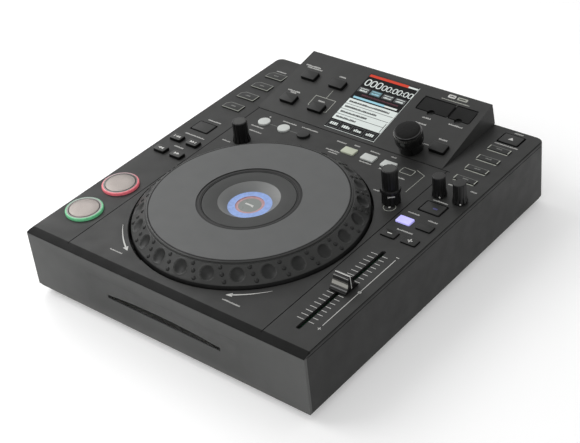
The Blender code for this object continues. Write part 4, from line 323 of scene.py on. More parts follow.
def zone(paint, low, high, colour, shiny=False, specular=None):
    """Gives a box of the model's frame its own colour, on a piece that stands still."""
    tree = paint.node_tree
    shader = tree.nodes["Principled BSDF"]
    low, high = Vector(low), Vector(high)
    place = add(tree, "ShaderNodeNewGeometry").outputs["Position"]
    steps = (("SUBTRACT", {1: (low + high) / 2}), ("DIVIDE", {1: (high - low) / 2}), ("ABSOLUTE", {}))
    for operation, inputs in steps:
        place = add(tree, "ShaderNodeVectorMath", {0: place, **inputs}, operation=operation).outputs["Vector"]
    parts = add(tree, "ShaderNodeSeparateXYZ", {0: place}).outputs
    widest = larger(tree, larger(tree, parts[0], parts[1]), parts[2])
    mask = add(tree, "ShaderNodeMath", {0: widest, 1: 1}, operation="LESS_THAN").outputs[0]
    base = shader.inputs["Base Color"].links[0].from_socket
    feed(tree, shader, {"Base Color": mixed(tree, mask, base, colour)})
    if specular is not None:
        gloss = "Specular IOR Level"
        feed(tree, shader, {gloss: ranged(tree, mask, shader.inputs[gloss].default_value, specular)})
    if shiny:
        feed(tree, shader, {"Metallic": mask})


FRONT_SLOPE_RUN = 0.0083
FRONT_SLOPE_DROP = 0.0022
FRONT_SLOPE_TONE = (0.0035, 0.0036, 0.0034)
zone(DECK_PLASTIC, (COVER_LOW.x, COVER_LOW.y - MM, DECK - FRONT_SLOPE_DROP - MM),
     (COVER_HIGH.x, COVER_LOW.y + FRONT_SLOPE_RUN, DECK + MM), FRONT_SLOPE_TONE, specular=0.08)


def dress(node, paint):
    """Gives a CAD node a scene material and shades its round faces smooth."""
    item = NODES[node]
    item.data.materials.clear()
    item.data.materials.append(paint)
    item.modifiers.new("smooth", "NODES").node_group = SMOOTHER


def smoother():
    """Nodes that weld a faceted mesh and shade it smooth where its faces meet flatly."""
    tree = bpy.data.node_groups.new("smooth_by_angle", "GeometryNodeTree")
    for way in ("INPUT", "OUTPUT"):
        tree.interface.new_socket("Geometry", in_out=way, socket_type="NodeSocketGeometry")
    angle = add(tree, "GeometryNodeInputMeshEdgeAngle").outputs["Unsigned Angle"]
    sharp = add(tree, "FunctionNodeCompare", {0: angle, 1: SMOOTH_ANGLE},
                data_type="FLOAT", operation="GREATER_THAN")
    form = add(tree, "NodeGroupInput").outputs[0]
    for kind, inputs, settings in (
        ("RemoveAttribute", {"Name": "custom_normal"}, {}), ("MergeByDistance", {"Distance": MERGE}, {}),
        ("SetShadeSmooth", {}, {"domain": "FACE"}),
        ("SetShadeSmooth", {"Selection": sharp.outputs[0], "Shade Smooth": False}, {"domain": "EDGE"}),
    ):
        form = add(tree, "GeometryNode" + kind, {"Geometry": form, **inputs}, **settings).outputs[0]
    add(tree, "NodeGroupOutput", {0: form})
    return tree


SMOOTHER = smoother()


# Mesh helpers

def as_mesh(name, bm):
    mesh = bpy.data.meshes.new(name)
    bm.to_mesh(mesh)
    bm.free()
    return mesh


def in_scene(name, data):
    item = bpy.data.objects.new(name, data)
    bpy.context.scene.collection.objects.link(item)
    return item


def piece(name, bm, paint, body, node=None, place=None, smooth=True):
    """A finished piece of the scene that rides on a body and may stand for a CAD node."""
    bmesh.ops.recalc_face_normals(bm, faces=bm.faces)
    mesh = as_mesh(name, bm)
    for item in paint if isinstance(paint, tuple) else (paint,):
        mesh.materials.append(item)
    if smooth:
        mesh.shade_smooth()
        mesh.set_sharp_from_angle(angle=SMOOTH_ANGLE)
    made = in_scene(name, mesh)
    if place is not None:
        made.matrix_world = place
    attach(made, body)
    if node:
        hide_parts(node)


def wavy(steps, reach_at):
    """Points round the origin, at the distance that a function of the angle gives."""
    turns = [tau * i / steps for i in range(steps)]
    return [(reach_at(turn) * cos(turn), reach_at(turn) * sin(turn)) for turn in turns]


def circle(x, y, radius, steps):
    return [(x + across, y + up) for across, up in wavy(steps, lambda turn: radius)]


def quarter(steps, first=0):
    """Angles from 0 to a right angle in even steps."""
    return [pi / 2 * i / steps for i in range(first, steps + 1)]


def hoop(bm, points, height):
    return [bm.verts.new((x, y, height)) for x, y in points]


def band(bm, first, second):
    """Faces that join two rings of points, with three corners where a ring is one point."""
    count = len(first)
    loops = [(first[i], first[(i + 1) % count], second[(i + 1) % count], second[i]) for i in range(count)]
    return [bm.faces.new(tuple(dict.fromkeys(loop))) for loop in loops]


def prism(bm, points, low, high):
    """A closed flat block over an outline."""
    lower, upper = hoop(bm, points, low), hoop(bm, points, high)
    bm.faces.new(lower[::-1])
    bm.faces.new(upper)
    band(bm, lower, upper)


def lathe(profile, steps, closed=False, paints=None):
    """A profile of (radius, height) spun round Z; points on the axis become one."""
    bm = bmesh.new()
    rings = []
    for radius, height in profile:
        if radius < MERGE:
            rings.append(hoop(bm, [(0, 0)], height) * steps)
        else:
            rings.append(hoop(bm, circle(0, 0, radius, steps), height))
    for index, (first, second) in enumerate(zip(rings, rings[1:] + (rings[:1] if closed else []))):
        for face in band(bm, first, second):
            face.material_index = paints[index] if paints else 0
    return bm


def rounded(outline, low, high, corner, edge):
    """A block over an outline with round uprights and a rolled upper rim."""
    bm = bmesh.new()
    prism(bm, outline, low, high)
    uprights = [e for e in bm.edges if abs(e.verts[0].co.z - e.verts[1].co.z) > MERGE]
    bmesh.ops.bevel(bm, geom=uprights, offset=corner, segments=CORNER_STEPS, profile=0.5, affect="EDGES")
    rim = [e for e in bm.edges if min(v.co.z for v in e.verts) > high - MERGE]
    bmesh.ops.bevel(bm, geom=rim, offset=edge, segments=RIM_STEPS, profile=0.5, affect="EDGES")
    return bm


def hull(corners):
    bm = bmesh.new()
    bmesh.ops.convex_hull(bm, input=[bm.verts.new(corner) for corner in corners])
    return bm


def rectangle(width, depth):
    x, y = width / 2, depth / 2
    return [(-x, -y), (x, -y), (x, y), (-x, y)]


# Flat marks

class Marks:
    """Ink on one face, drawn in millimetres and lifted a hair above it."""

    def __init__(self, face, lift=0.0):
        self.bm = bmesh.new()
        self.face = face @ Matrix.Diagonal((MM, MM, MM, 1))
        self.low = lift - INK_SUNK
        self.high = lift + INK

    def shape(self, points):
        prism(self.bm, points, self.low, self.high)

    def box(self, x0, x1, y0, y1):
        self.shape([(x0, y0), (x1, y0), (x1, y1), (x0, y1)])

    def bar(self, x0, x1, y, height):
        self.box(x0, x1, y - height / 2, y + height / 2)

    def disc(self, x, y, radius):
        self.shape(circle(x, y, radius, DISC_STEPS))

    def stroke(self, points, width, closed=False):
        """A line of even width with mitred corners."""
        count = len(points)
        sides = []
        for i, point in enumerate(points):
            here = Vector(point)
            before = Vector(points[i - 1]) if closed or i > 0 else None
            after = Vector(points[(i + 1) % count]) if closed or i < count - 1 else None
            into = (here - before).normalized() if before is not None else (after - here).normalized()
            out = (after - here).normalized() if after is not None else into
            normal_in = Vector((-into.y, into.x))
            normal_out = Vector((-out.y, out.x))
            middle = (normal_in + normal_out).normalized()
            reach = width / 2 / max(0.3, middle.dot(normal_in))
            sides.append((here + middle * reach, here - middle * reach))
        verts = [[self.bm.verts.new((p.x, p.y, z)) for p in pair for z in (self.low, self.high)]
                 for pair in sides]
        spans = list(zip(verts, verts[1:]))
        if closed:
            spans.append((verts[-1], verts[0]))
        for a, b in spans:
            for i, j in ((0, 1), (1, 3), (3, 2), (2, 0)):
                self.bm.faces.new((a[i], a[j], b[j], b[i]))
        if not closed:
            for end in (verts[0], verts[-1]):
                self.bm.faces.new((end[0], end[1], end[3], end[2]))

    def ring(self, x, y, radius, width):
        self.stroke(circle(x, y, radius, RING_STEPS), width, True)

    def label(self, x0, x1, y, height, seed=1):
        """A run of small plain blocks where the real one has a word."""
        draw = random.Random(seed)
        x = x0
        while x < x1 - height * 0.3:
            width = min(height * draw.choice((0.38, 0.5, 0.6)), x1 - x)
            tall = height * draw.choice((0.72, 1.0, 1.0))
            self.bar(x, x + width, y - (height - tall) / 2, tall)
            x += width + height * 0.16

    def done(self, name, paint, body="body"):
        piece(name, self.bm, paint, body, place=self.face, smooth=False)


def rounded_outline(width, depth, corner, x=0, y=0, steps=5):
    points = []
    across, up = width / 2 - corner, depth / 2 - corner
    for start, (cx, cy) in enumerate(((across, up), (-across, up), (-across, -up), (across, -up))):
        for i in range(steps + 1):
            turn = pi / 2 * (start + i / steps)
            points.append((x + cx + corner * cos(turn), y + cy + corner * sin(turn)))
    return points


# Casing

dress("top_cover", DECK_PLASTIC)
dress("front_panel", PANEL_PLASTIC)
dress("bottom_tray", TRAY_STEEL)
dress("console_housing", CONSOLE_PLASTIC)
dress("display_module", BLACK_GLASS)
dress("control_board", BOARD_GREEN)
dress("disc_drive", STEEL)
dress("jog_post", STEEL)
dress("encoder_shaft", STEEL)
dress("power_rocker", SOCKET_BLACK)
for corner in ("front_left", "front_right", "rear_left", "rear_right"):
    dress("foot_" + corner, FOOT_RUBBER)
for flap in ("card_flap", "usb_flap"):
    dress(flap, FLAP_BLACK)


# Keys

def cap_frame(node):
    """The place, width, depth and height over the deck of a CAD node's cap."""
    low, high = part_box(node)
    middle = (low + high) / 2
    spot = Matrix.Translation((middle.x, middle.y, DECK))
    return spot, high.x - low.x - 2 * KEY_FLANGE, high.y - low.y - 2 * KEY_FLANGE, high.z - DECK


def on_key(node):
    spot, _, _, rise = cap_frame(node)
    return Marks(spot, rise / MM)


def darken_sides(bm):
    """Gives every face that doesn't look up the second of two paints, a darker one: painted shade on the key's
    sides.
    """
    for face in bm.faces:
        face.normal_update()
        if face.normal.z < 0.6:
            face.material_index = 1


def deck_key(node, paint, rounding=KEY_ROUNDING, side=None):
    """A key over the cap of its CAD node; its rounding is the uprights' radius and the rim's roll."""
    spot, width, depth, rise = cap_frame(node)
    bm = rounded(rectangle(width, depth), -KEY_DEPTH, rise, *rounding)
    if side:
        darken_sides(bm)
    piece(node + "_cap", bm, (paint, side) if side else paint, node, node, place=spot)


CLUSTER_KEYS = ("search_back_key", "search_forward_key", "track_back_key", "track_forward_key")
SQUARE_KEYS = ("reverse_key", "jog_mode_key", "eject_key")
SIGN_BARS = ((-2.4, 2.4, 0, 1.0), (-0.5, 0.5, 0, 4.8))


def triangle(marks, x, y, size, way):
    reach, half = way * size / 2, size * 0.55
    marks.shape([(x - reach, y - half), (x + reach, y), (x - reach, y + half)][::way])


def cluster_symbol(marks, node):
    """Two arrowheads, with a stop bar on the track keys."""
    way = -1 if "back" in node else 1
    if node.startswith("search"):
        triangle(marks, -1.6, 0, 3.2, way)
        triangle(marks, 1.6, 0, 3.2, way)
    else:
        triangle(marks, -1.0 * way - 1.1, 0, 2.9, way)
        triangle(marks, -1.0 * way + 1.6, 0, 2.9, way)
        marks.box(3.2 * way - 0.4, 3.2 * way + 0.4, -1.7, 1.7)


for node in CLUSTER_KEYS:
    deck_key(node, KEY_GREY, CLUSTER_ROUNDING, KEY_SIDE_PAINTED_SHADE)
    marks = on_key(node)
    cluster_symbol(marks, node)
    marks.done(node + "_symbol", WHITE_INK, node)

for node in SQUARE_KEYS:
    deck_key(node, FLUSH_KEY, SQUARE_ROUNDING)

for node, bars in (("tempo_down_key", SIGN_BARS[:1]), ("tempo_up_key", SIGN_BARS), ("tempo_range_key", ())):
    deck_key(node, KEY_BLACK, side=KEY_SIDE_PAINTED_SHADE)
    marks = on_key(node)
    for bar in bars:
        marks.bar(*bar)
    if bars:
        marks.done(node + "_symbol", WHITE_INK, node)
deck_key("tempo_lock_key", LILAC_KEY)
deck_key("mode_key_1", CREAM_KEY)
deck_key("mode_key_2", WHITE_KEY)
deck_key("mode_key_3", WHITE_KEY)
deck_key("hold_key", FLUSH_KEY)
HOT_CUT = 0.0040
LINE_INSET = 0.4


def outlined_key(node, label_seed, cut=0.0):
    """A dark flush key with a printed outline. Without a cut corner the front line is on the deck."""
    spot, width, depth, rise = cap_frame(node)
    half_x, half_y = width / 2, depth / 2
    outline = [(-half_x, -half_y), (half_x, -half_y), (half_x, half_y), (cut - half_x, half_y)]
    if cut:
        outline.append((-half_x, half_y - cut))
    cap = rounded(outline, -KEY_DEPTH, rise, *OUTLINED_ROUNDING)
    piece(node + "_cap", cap, KEY_BLACK, node, node, place=spot)
    line = [[value / MM - copysign(LINE_INSET, value) for value in point] for point in outline]
    marks, words, edge = on_key(node), on_key(node), Marks(spot, rise / MM + INK)
    if cut:
        marks.stroke(line, 0.7, True)
        edge.stroke(line[:3], 1.0)
        edge.done(node + "_edge", FRAME_INK, node)
    else:
        wide, front, rear = line[1][0], -half_y / MM, half_y / MM
        marks.stroke(line[2:], 0.5)
        for side in (-wide, wide):
            edge.box(side - 0.5, side + 0.5, front, rear - 0.3)
        edge.done(node + "_edge", PALE_INK, node)
        below = Marks(spot)
        below.shape([(-wide - 0.5, front - 0.3), (-wide + 0.2, front - 1.5), (wide - 0.2, front - 1.5),
                     (wide + 0.5, front - 0.3)])
        below.done(node + "_frame", PALE_INK)
    marks.done(node + "_outline", GREY_INK, node)
    words.label(-3.2, 3.0, 0.4, 1.7, label_seed)
    words.done(node + "_mark", GREY_INK, node)


for number in range(1, 5):
    outlined_key(f"hot_key_{number}", number, HOT_CUT)
    outlined_key(f"source_key_{number}", number + 4)


def round_cap(node, paint):
    """A round key with a slightly domed top and a rolled rim."""
    spot, width, _, rise = cap_frame(node)
    radius = width / 2
    edge = radius * 0.09
    profile = [((radius - edge) * i / 8, rise - ROUND_DOME * (i / 8) ** 2) for i in range(9)]
    profile += [(radius - edge + edge * sin(turn), rise - ROUND_DOME - edge * (1 - cos(turn)))
                for turn in quarter(5, 1)]
    profile += [(radius, -KEY_DEPTH), (0, -KEY_DEPTH)]
    piece(node + "_cap", lathe(profile, 96), paint, node, node, place=spot)


LOOP_KEYS = {"loop_in_key": WHITE_KEY, "loop_out_key": WHITE_KEY, "loop_exit_key": KEY_BLACK}
ROUND_DOME = 0.0003
for node, paint in LOOP_KEYS.items():
    round_cap(node, paint)


# Transport buttons

TRANSPORT_RING = (0.01505, 0.0164, 0.01805, 0.0027)
TRANSPORT_DROP = 0.0013
TRANSPORT_CHAMFER = 0.0003
TRANSPORT_SOFT = 0.0008


def transport(node, ring_paint):
    """A turned metal face on a dark polished chamfer, inside its lit ring."""
    spot, width, _, high = cap_frame(node)
    radius = width / 2
    rise = high - TRANSPORT_DROP
    face = radius - TRANSPORT_CHAMFER
    profile = [(0, rise), (face * 0.5, rise), (face - 0.0003, rise), (face, rise - 0.0001),
               (face + 0.0002, rise - 0.0003), (radius - 0.00005, rise - 0.0012), (radius, rise - 0.0014),
               (radius, -KEY_DEPTH), (0, -KEY_DEPTH)]
    button = lathe(profile, 128, paints=[0, 0, 0, 1, 1, 1, 1, 1])
    piece(node + "_cap", button, (BRUSHED, DARK_CHROME), node, node, place=spot)
    inner, lit_from, outer, height = TRANSPORT_RING
    ring = [(inner, 0.0), (inner, height - 0.00008), (lit_from, height - 0.00008), (lit_from + 0.0001, height)]
    ring += [(outer - TRANSPORT_SOFT * (1 - sin(turn)), height - TRANSPORT_SOFT * (1 - cos(turn)))
             for turn in quarter(6)]
    ring.append((outer, 0.0))
    glow = lathe(ring, 128, closed=True, paints=[1, 1] + [0] * (len(ring) - 2))
    piece(node + "_ring", glow, (ring_paint, DARK_CHROME), "body", place=spot)


transport("play_button", PLAY_GREEN)
transport("cue_button", CUE_RED)


# Knobs

def fluted(profile, depth, ripple_to):
    """A knob's grip with flutes that grow deep below a height."""
    bm = bmesh.new()
    rings = []
    for radius, height in profile:
        share = max(0.3, min(1.0, (ripple_to - height) / ripple_to * 2.2))
        press = depth * share if radius > depth * 4 else 0
        points = wavy(FLUTES * 12, lambda turn: radius - press * max(0.0, cos(turn * FLUTES)) ** 2)
        rings.append(hoop(bm, points, height))
    bm.faces.new(rings[0][::-1])
    bm.faces.new(rings[-1])
    for first, second in zip(rings, rings[1:]):
        band(bm, first, second)
    return bm


DOT_SIDE = Vector((0.586, -0.810, 0))
DOT_RADIUS = 0.0008
FLUTES = 12
KNOB_GAP = 0.0006
SKIRT_FOOT = 0.0022
CROWN_DEPTH = 0.0006
KNOB_EDGE_SHARE = 0.14
FLUTE_SHARE = 0.14


def knob(node, top_share, skirt_share, collar=None, crown_paint=KNOB_TOP, dot=True):
    """A knob with a grey top, a round shank and a flared, fluted skirt with a white mark."""
    spot, width, _, height = cap_frame(node)
    base = collar[0] if collar else width / 2 + KEY_FLANGE
    top = base * top_share
    edge = top * KNOB_EDGE_SHARE
    skirt = height * skirt_share
    profile = [(base, KNOB_GAP), (base * 0.995, SKIRT_FOOT)]
    if collar:
        _, ring_radius, ring_high, ring_band = collar
        profile += [(base * 0.96, ring_high - 2.4 * ring_band), (ring_radius, ring_high - 1.7 * ring_band),
                    (ring_radius, ring_high - 0.3 * ring_band), (ring_radius * 0.97, ring_high),
                    (top, ring_high)]
    else:
        profile += [(top + (base - top) * (1 - i / 6) ** 2, SKIRT_FOOT + (skirt - SKIRT_FOOT) * i / 6)
                    for i in range(1, 7)]
    profile += [(top - edge + edge * cos(turn), height - edge + edge * sin(turn))
                for turn in quarter(6)]
    profile.append((top - edge * 1.6, height))
    piece(node + "_grip", fluted(profile, base * FLUTE_SHARE, skirt), KNOB_RUBBER, node, node, place=spot)
    crown = top - edge * 1.1
    cover = lathe([(0, height + 0.0001), (crown * 0.6, height + 0.00008), (crown, height - 0.00002),
                   (crown, height - CROWN_DEPTH), (0, height - CROWN_DEPTH)], 64)
    piece(node + "_top", cover, crown_paint, node, place=spot)
    if collar:
        across = DOT_SIDE.cross(Vector((0, 0, 1)))
        ends = ((-0.0036, 0.0112), (0.0028, 0.0106), (0.0028, 0.0096), (-0.0036, 0.0102))
        corners = [DOT_SIDE * base * out + across * along + Vector((0, 0, level))
                   for along, level in ends for out in (0.9, 0.985)]
        piece(node + "_dot", hull(corners), WHITE_INK, node, place=spot, smooth=False)
    elif dot:
        bm = bmesh.new()
        bmesh.ops.create_uvsphere(bm, u_segments=20, v_segments=12, radius=DOT_RADIUS)
        place = spot @ Matrix.Translation(DOT_SIDE * base * 0.95 + Vector((0, 0, 2 * DOT_RADIUS)))
        piece(node + "_dot", bm, WHITE_INK, node, place=place)


# The radius of the grip, then the radius, height and width of the collar's ring
EFFECT_COLLAR = (0.0088, 0.0096, 0.0160, 0.0022)
knob("start_time_knob", 0.84, 0.42, dot=False)
knob("trim_knob_1", 0.87, 0.42, crown_paint=DARK_TOP)
knob("trim_knob_2", 0.87, 0.42, crown_paint=DARK_TOP)
knob("effect_knob", 0.85, 0.35, collar=EFFECT_COLLAR)


ENCODER_SPOT = (0.1820, 0.0115, 0)
KNURL = 0.00012


def encoder():
    """The browse knob: a waisted glossy body with a domed top."""
    radius_top, radius_belly, radius_neck = 0.0130, 0.0140, 0.0120
    height, belly, foot = 0.0260, 0.0140, 0.0020
    roll, shoulder = 0.001, height - 0.0022
    place = CONSOLE_FACE @ Matrix.Translation(ENCODER_SPOT)
    side = [(0, foot), (radius_neck, foot), (radius_neck, belly * 0.6)]
    swell = radius_belly - radius_neck
    side += [(radius_neck + swell * sin(turn), belly * (0.6 + 0.8 * turn / pi)) for turn in quarter(5, 1)]
    side += [(radius_belly, belly * 1.25), (radius_belly * 0.985, height - 0.0055)]
    side += [(radius_top - roll + roll * cos(turn), shoulder + roll * sin(turn))
             for turn in quarter(5)]
    side.append((0, height - 0.0012))
    piece("encoder_grip", lathe(side, 128), GLOSS_BLACK, "encoder_knob", "encoder_knob", place=place)
    bm = bmesh.new()
    rings = []
    knurled = ((0.0120, 0, 0.0060), (0.0139, KNURL, 0.0060), (0.0137, KNURL, 0.0036), (0.0120, 0, 0.0036))
    for radius, ripple, drop in knurled:
        rings.append(hoop(bm, wavy(288, lambda turn: radius + ripple * cos(turn * 48)), height - drop))
    for first, second in zip(rings, rings[1:] + rings[:1]):
        band(bm, first, second)
    piece("encoder_band", bm, BAND_CHROME, "encoder_knob", place=place)
    crown = radius_top - 0.0006
    top = [(crown * sin(turn) ** 0.9, height - 0.0012 + 0.0011 * cos(turn)) for turn in quarter(8)]
    dome = lathe(top + [(crown, shoulder), (0, shoulder)], 96)
    piece("encoder_top", dome, DOME_GREY, "encoder_knob", place=place)


encoder()


# Console keys

CONSOLE_KEY_SIZE = (0.0170, 0.0115)
CONSOLE_KEY_RISE = 0.0034


def console_key(node, u, v):
    bm = rounded(rectangle(*CONSOLE_KEY_SIZE), -KEY_DEPTH, CONSOLE_KEY_RISE, *CONSOLE_ROUNDING)
    darken_sides(bm)
    place = CONSOLE_FACE @ Matrix.Translation((u, v, 0))
    piece(node + "_cap", bm, (KEY_BLACK, KEY_SIDE_PAINTED_SHADE), node, node, place=place)


BACK_SPOT = (0.2065, 0.0215)
MENU_SPOTS = ((0.0243, 0.0592), (0.0598, 0.0592), (0.0243, 0.0220), (0.0598, 0.0220))
for number, (u, v) in enumerate(MENU_SPOTS, start=1):
    console_key(f"menu_key_{number}", u, v)
console_key("back_key", *BACK_SPOT)


# Jog wheel

JOG_PLACE = cap_frame("jog_ring")[0]
JOG_RIM_TOP = (0.0929, 0.0172)
JOG_RIM_LOW = (0.1092, 0.0030)
DIMPLES = 24
RIM_SOFT = 0.0012
RIM_UNDER = 0.0105
DIMPLE_LIP = 0.0003
RIM_GROOVE = 0.0009
RIM_GROOVE_PLACE = 0.0022
RIM_GROOVE_WIDTH = 0.0007
DIMPLE_TURN = radians(4.2)
DIMPLE_RADIUS = 0.0068
DIMPLE_DEPTH = 0.0026
STUD_RADIUS = 0.0020
STUD_RISE = 0.0011
STUD_PITCH = 0.0062
STUD_SLANT = 0.0022
DIMPLE_OUTWARD = 0.0010


def rim_frame(turn, along):
    """The place on the rim's slope at an angle, and this far down from its middle."""
    tilt = atan2(JOG_RIM_TOP[1] - JOG_RIM_LOW[1], JOG_RIM_LOW[0] - JOG_RIM_TOP[0])
    middle = ((JOG_RIM_TOP[0] + JOG_RIM_LOW[0]) / 2, 0, (JOG_RIM_TOP[1] + JOG_RIM_LOW[1]) / 2)
    lie = Matrix.Translation(middle) @ Matrix.Rotation(tilt, 4, "Y")
    return Matrix.Rotation(turn, 4, "Z") @ lie @ Matrix.Translation((along, 0, 0))


def groove(along):
    """How deep, from 0 to 1, the fine groove near the rim's upper edge is pressed in."""
    return max(0.0, 1 - (abs(along - RIM_GROOVE_PLACE) / RIM_GROOVE_WIDTH) ** 4)


def jog_rim():
    """The rim's slope as a fine grid, pressed in by the finger dimples, whose insides are painted darker as
    painted shade.
    """
    steps = DIMPLES * 30
    slope_steps = 46
    length = hypot(JOG_RIM_LOW[0] - JOG_RIM_TOP[0], JOG_RIM_TOP[1] - JOG_RIM_LOW[1])
    normal = ((JOG_RIM_TOP[1] - JOG_RIM_LOW[1]) / length, (JOG_RIM_LOW[0] - JOG_RIM_TOP[0]) / length)
    profile = [(0.0500, RIM_UNDER, None), (0.0924, RIM_UNDER, None), (0.0924, 0.0170, None)]
    for i in range(slope_steps + 1):
        share = i / slope_steps
        along = (share - 0.5) * length
        end = max(0.0, abs(along) - (length / 2 - RIM_SOFT)) / RIM_SOFT
        roll = RIM_SOFT * 0.3 * end ** 2
        radius = JOG_RIM_TOP[0] + (JOG_RIM_LOW[0] - JOG_RIM_TOP[0]) * share - normal[0] * roll
        height = JOG_RIM_TOP[1] + (JOG_RIM_LOW[1] - JOG_RIM_TOP[1]) * share - normal[1] * roll
        profile.append((radius, height, along))
    profile += [(0.1091, -0.0088, None), (0.1050, -0.0088, None), (0.1050, 0.0010, None),
                (0.0960, 0.0080, None), (0.0500, 0.0080, None)]
    bm = bmesh.new()
    pitch = tau / DIMPLES
    rings = []
    pressed = []
    for radius, height, along in profile:
        ring = []
        inside = []
        for i in range(steps):
            turn = tau * i / steps
            r, z = radius, height
            away = 1.0
            if along is not None:
                off = (turn - DIMPLE_TURN + pitch / 2) % pitch - pitch / 2
                away = hypot(off * radius, along - DIMPLE_OUTWARD) / DIMPLE_RADIUS
                press = DIMPLE_DEPTH * max(0.0, 1 - away ** 2) + RIM_GROOVE * groove(along + length / 2)
                lip = DIMPLE_LIP * exp(-((away - 1.06) / 0.08) ** 2)
                r += normal[0] * (lip - press)
                z += normal[1] * (lip - press)
            ring.append(bm.verts.new((r * cos(turn), r * sin(turn), z)))
            inside.append(away < 0.97)
        rings.append(ring)
        pressed.append(inside)
    sloped = range(2, 3 + slope_steps)
    for index, (first, second) in enumerate(zip(rings, rings[1:] + rings[:1])):
        for i, face in enumerate(band(bm, first, second)):
            # Faces off the slope take the near-black paint, which on the outer wall is painted shade; faces
            # inside a dimple take the painted shade.
            if index not in sloped:
                face.material_index = 1
            elif pressed[index][i] and pressed[index][(i + 1) % steps] and pressed[index + 1][i]:
                face.material_index = 2
    piece("jog_rim", bm, (JOG_RUBBER, JOG_SKIRT_AND_GAP_SHADE, JOG_PAINTED_SHADE), "jog_wheel", "jog_ring", place=JOG_PLACE)


def jog_studs():
    """Rows of small round studs between the dimples, in the darker rubber of the dimples' painted shade."""
    dome = [(STUD_RADIUS * sin(turn), STUD_RISE * cos(turn)) for turn in quarter(5)]
    bm = bmesh.new()
    for i in range(DIMPLES):
        for j in (-1, 0, 1):
            mesh = as_mesh("stud", lathe(dome + [(STUD_RADIUS, -0.0005), (0, -0.0005)], 20))
            turn = DIMPLE_TURN + tau / DIMPLES * (i + 0.5) + STUD_SLANT * j / JOG_RIM_TOP[0]
            mesh.transform(rim_frame(turn, DIMPLE_OUTWARD + STUD_PITCH * j))
            bm.from_mesh(mesh)
            bpy.data.meshes.remove(mesh)
    piece("jog_studs", bm, JOG_PAINTED_SHADE, "jog_wheel", place=JOG_PLACE)


def jog_disc():
    """The wheel's top plate, with a stepped groove round its opening."""
    top, under = 0.0172, 0.0148
    profile = [(0.0436, 0.0160), (0.0440, 0.0163), (0.0452, 0.0163), (0.0453, 0.0166), (0.0465, 0.0166),
               (0.0466, 0.0165), (0.0480, 0.0165), (0.0484, top), (0.0910, top), (0.0911, top - 0.0001),
               (0.0918, top - 0.0001), (0.0920, top - 0.0003), (0.0920, under), (0.0436, under)]
    # The band from 0.0911 to 0.0918 at the plate's outer edge takes the near-black paint: a painted shadow of
    # the gap between plate and rim.
    plate = lathe(profile, 256, closed=True, paints=[1, 1, 2, 2, 1, 1, 1, 0, 0, 1, 1, 1, 0, 1])
    piece("jog_top", plate, (JOG_DISC, JOG_SKIRT_AND_GAP_SHADE, JOG_STEP), "jog_wheel", "jog_plate", place=JOG_PLACE)


def jog_lens():
    """The still display in the wheel: dark ring, pale cone, lit blue and red rings, core."""
    radius, top, low, core, foot = 0.0433, 0.0162, 0.0100, 0.0094, 0.0030
    profile = [(0, core), (0.0108, core), (0.0133, core), (0.0135, low), (0.0205, low), (0.0287, top),
               (0.0291, top + 0.0001), (0.0429, top + 0.0001), (radius, top - 0.0003),
               (radius, foot), (0, foot)]
    lens = lathe(profile, 192, paints=[4, 3, 3, 2, 1, 0, 0, 0, 0, 0])
    paints = (JOG_ANNULUS, JOG_CONE, RING_BLUE, RING_RED, JOG_CORE)
    piece("jog_lens", lens, paints, "body", "jog_display", place=JOG_PLACE)
    marks = Marks(JOG_PLACE, core / MM)
    marks.bar(-5.6, 3.6, 0.4, 1.8)
    marks.bar(2.2, 4.4, -0.9, 1.2)
    marks.done("jog_lens_mark", WHITE_INK)


jog_rim()
jog_studs()
jog_disc()
jog_lens()


# Printed marks on the deck

LABELS = [
    (18.3, 35.1, 232.2), (14.8, 39.7, 201.7), (21.3, 33.2, 178.0), (55.3, 65.5, 211.2),
    (62.7, 78.6, 247.0), (67.1, 82.0, 239.0), (16.6, 29.5, 344.0), (86.0, 103.6, 268.6),
    (109.8, 129.7, 269.2), (154.1, 170.2, 250.6), (159.2, 169.8, 247.4), (155.4, 166.9, 266.6),
    (174.9, 181.1, 268.9), (194.2, 206.1, 268.4), (194.7, 208.3, 249.4), (217.0, 222.9, 270.5),
    (218.2, 222.6, 248.6), (242.0, 249.8, 245.0), (234.7, 240.8, 217.5), (290.9, 306.5, 232.0),
    (288.5, 294.5, 259.4), (312.0, 318.4, 260.0), (281.8, 293.7, 205.2), (304.7, 314.3, 203.0),
    (288.3, 305.0, 178.8), (295.0, 304.5, 363.8), (287.2, 312.0, 340.6),
]
LABEL_HEIGHT = 1.7
FINE_LABELS = [(88.1, 102.7, 21.4), (221.2, 240.2, 21.3)]
FINE_HEIGHT = 1.5
SEAMS = (48.3, 275.9)
PANEL_JOINT = 8.3
KNOB_ZERO = (263.6, 201.8)
TICKS = 19
TICKS_FROM_TO = (37.0, 139.0)
ARROW_REACH = 117.0
WELL = 111.4
FADER_SLOT_WIDTH = 3.2
FADER_FRONT_MARGIN = 25.6
FADER_REST_OFFSET = 2.0


def on_deck(node):
    """A CAD node's middle, from the deck's front left corner."""
    place = (cap_frame(node)[0].translation - DECK_CORNER) / MM
    return place.x, place.y


def key_outline(marks, node, grow, width):
    """A printed line round a key's hole."""
    _, across, deep, _ = cap_frame(node)
    outline = rounded_outline(across / MM + 2 * grow, deep / MM + 2 * grow, 1.6, *on_deck(node))
    marks.stroke(outline, width, True)


def arc(cx, cy, radius, start, end, steps=24):
    turns = [radians(start + (end - start) * i / steps) for i in range(steps + 1)]
    return [(cx + radius * cos(turn), cy + radius * sin(turn)) for turn in turns]


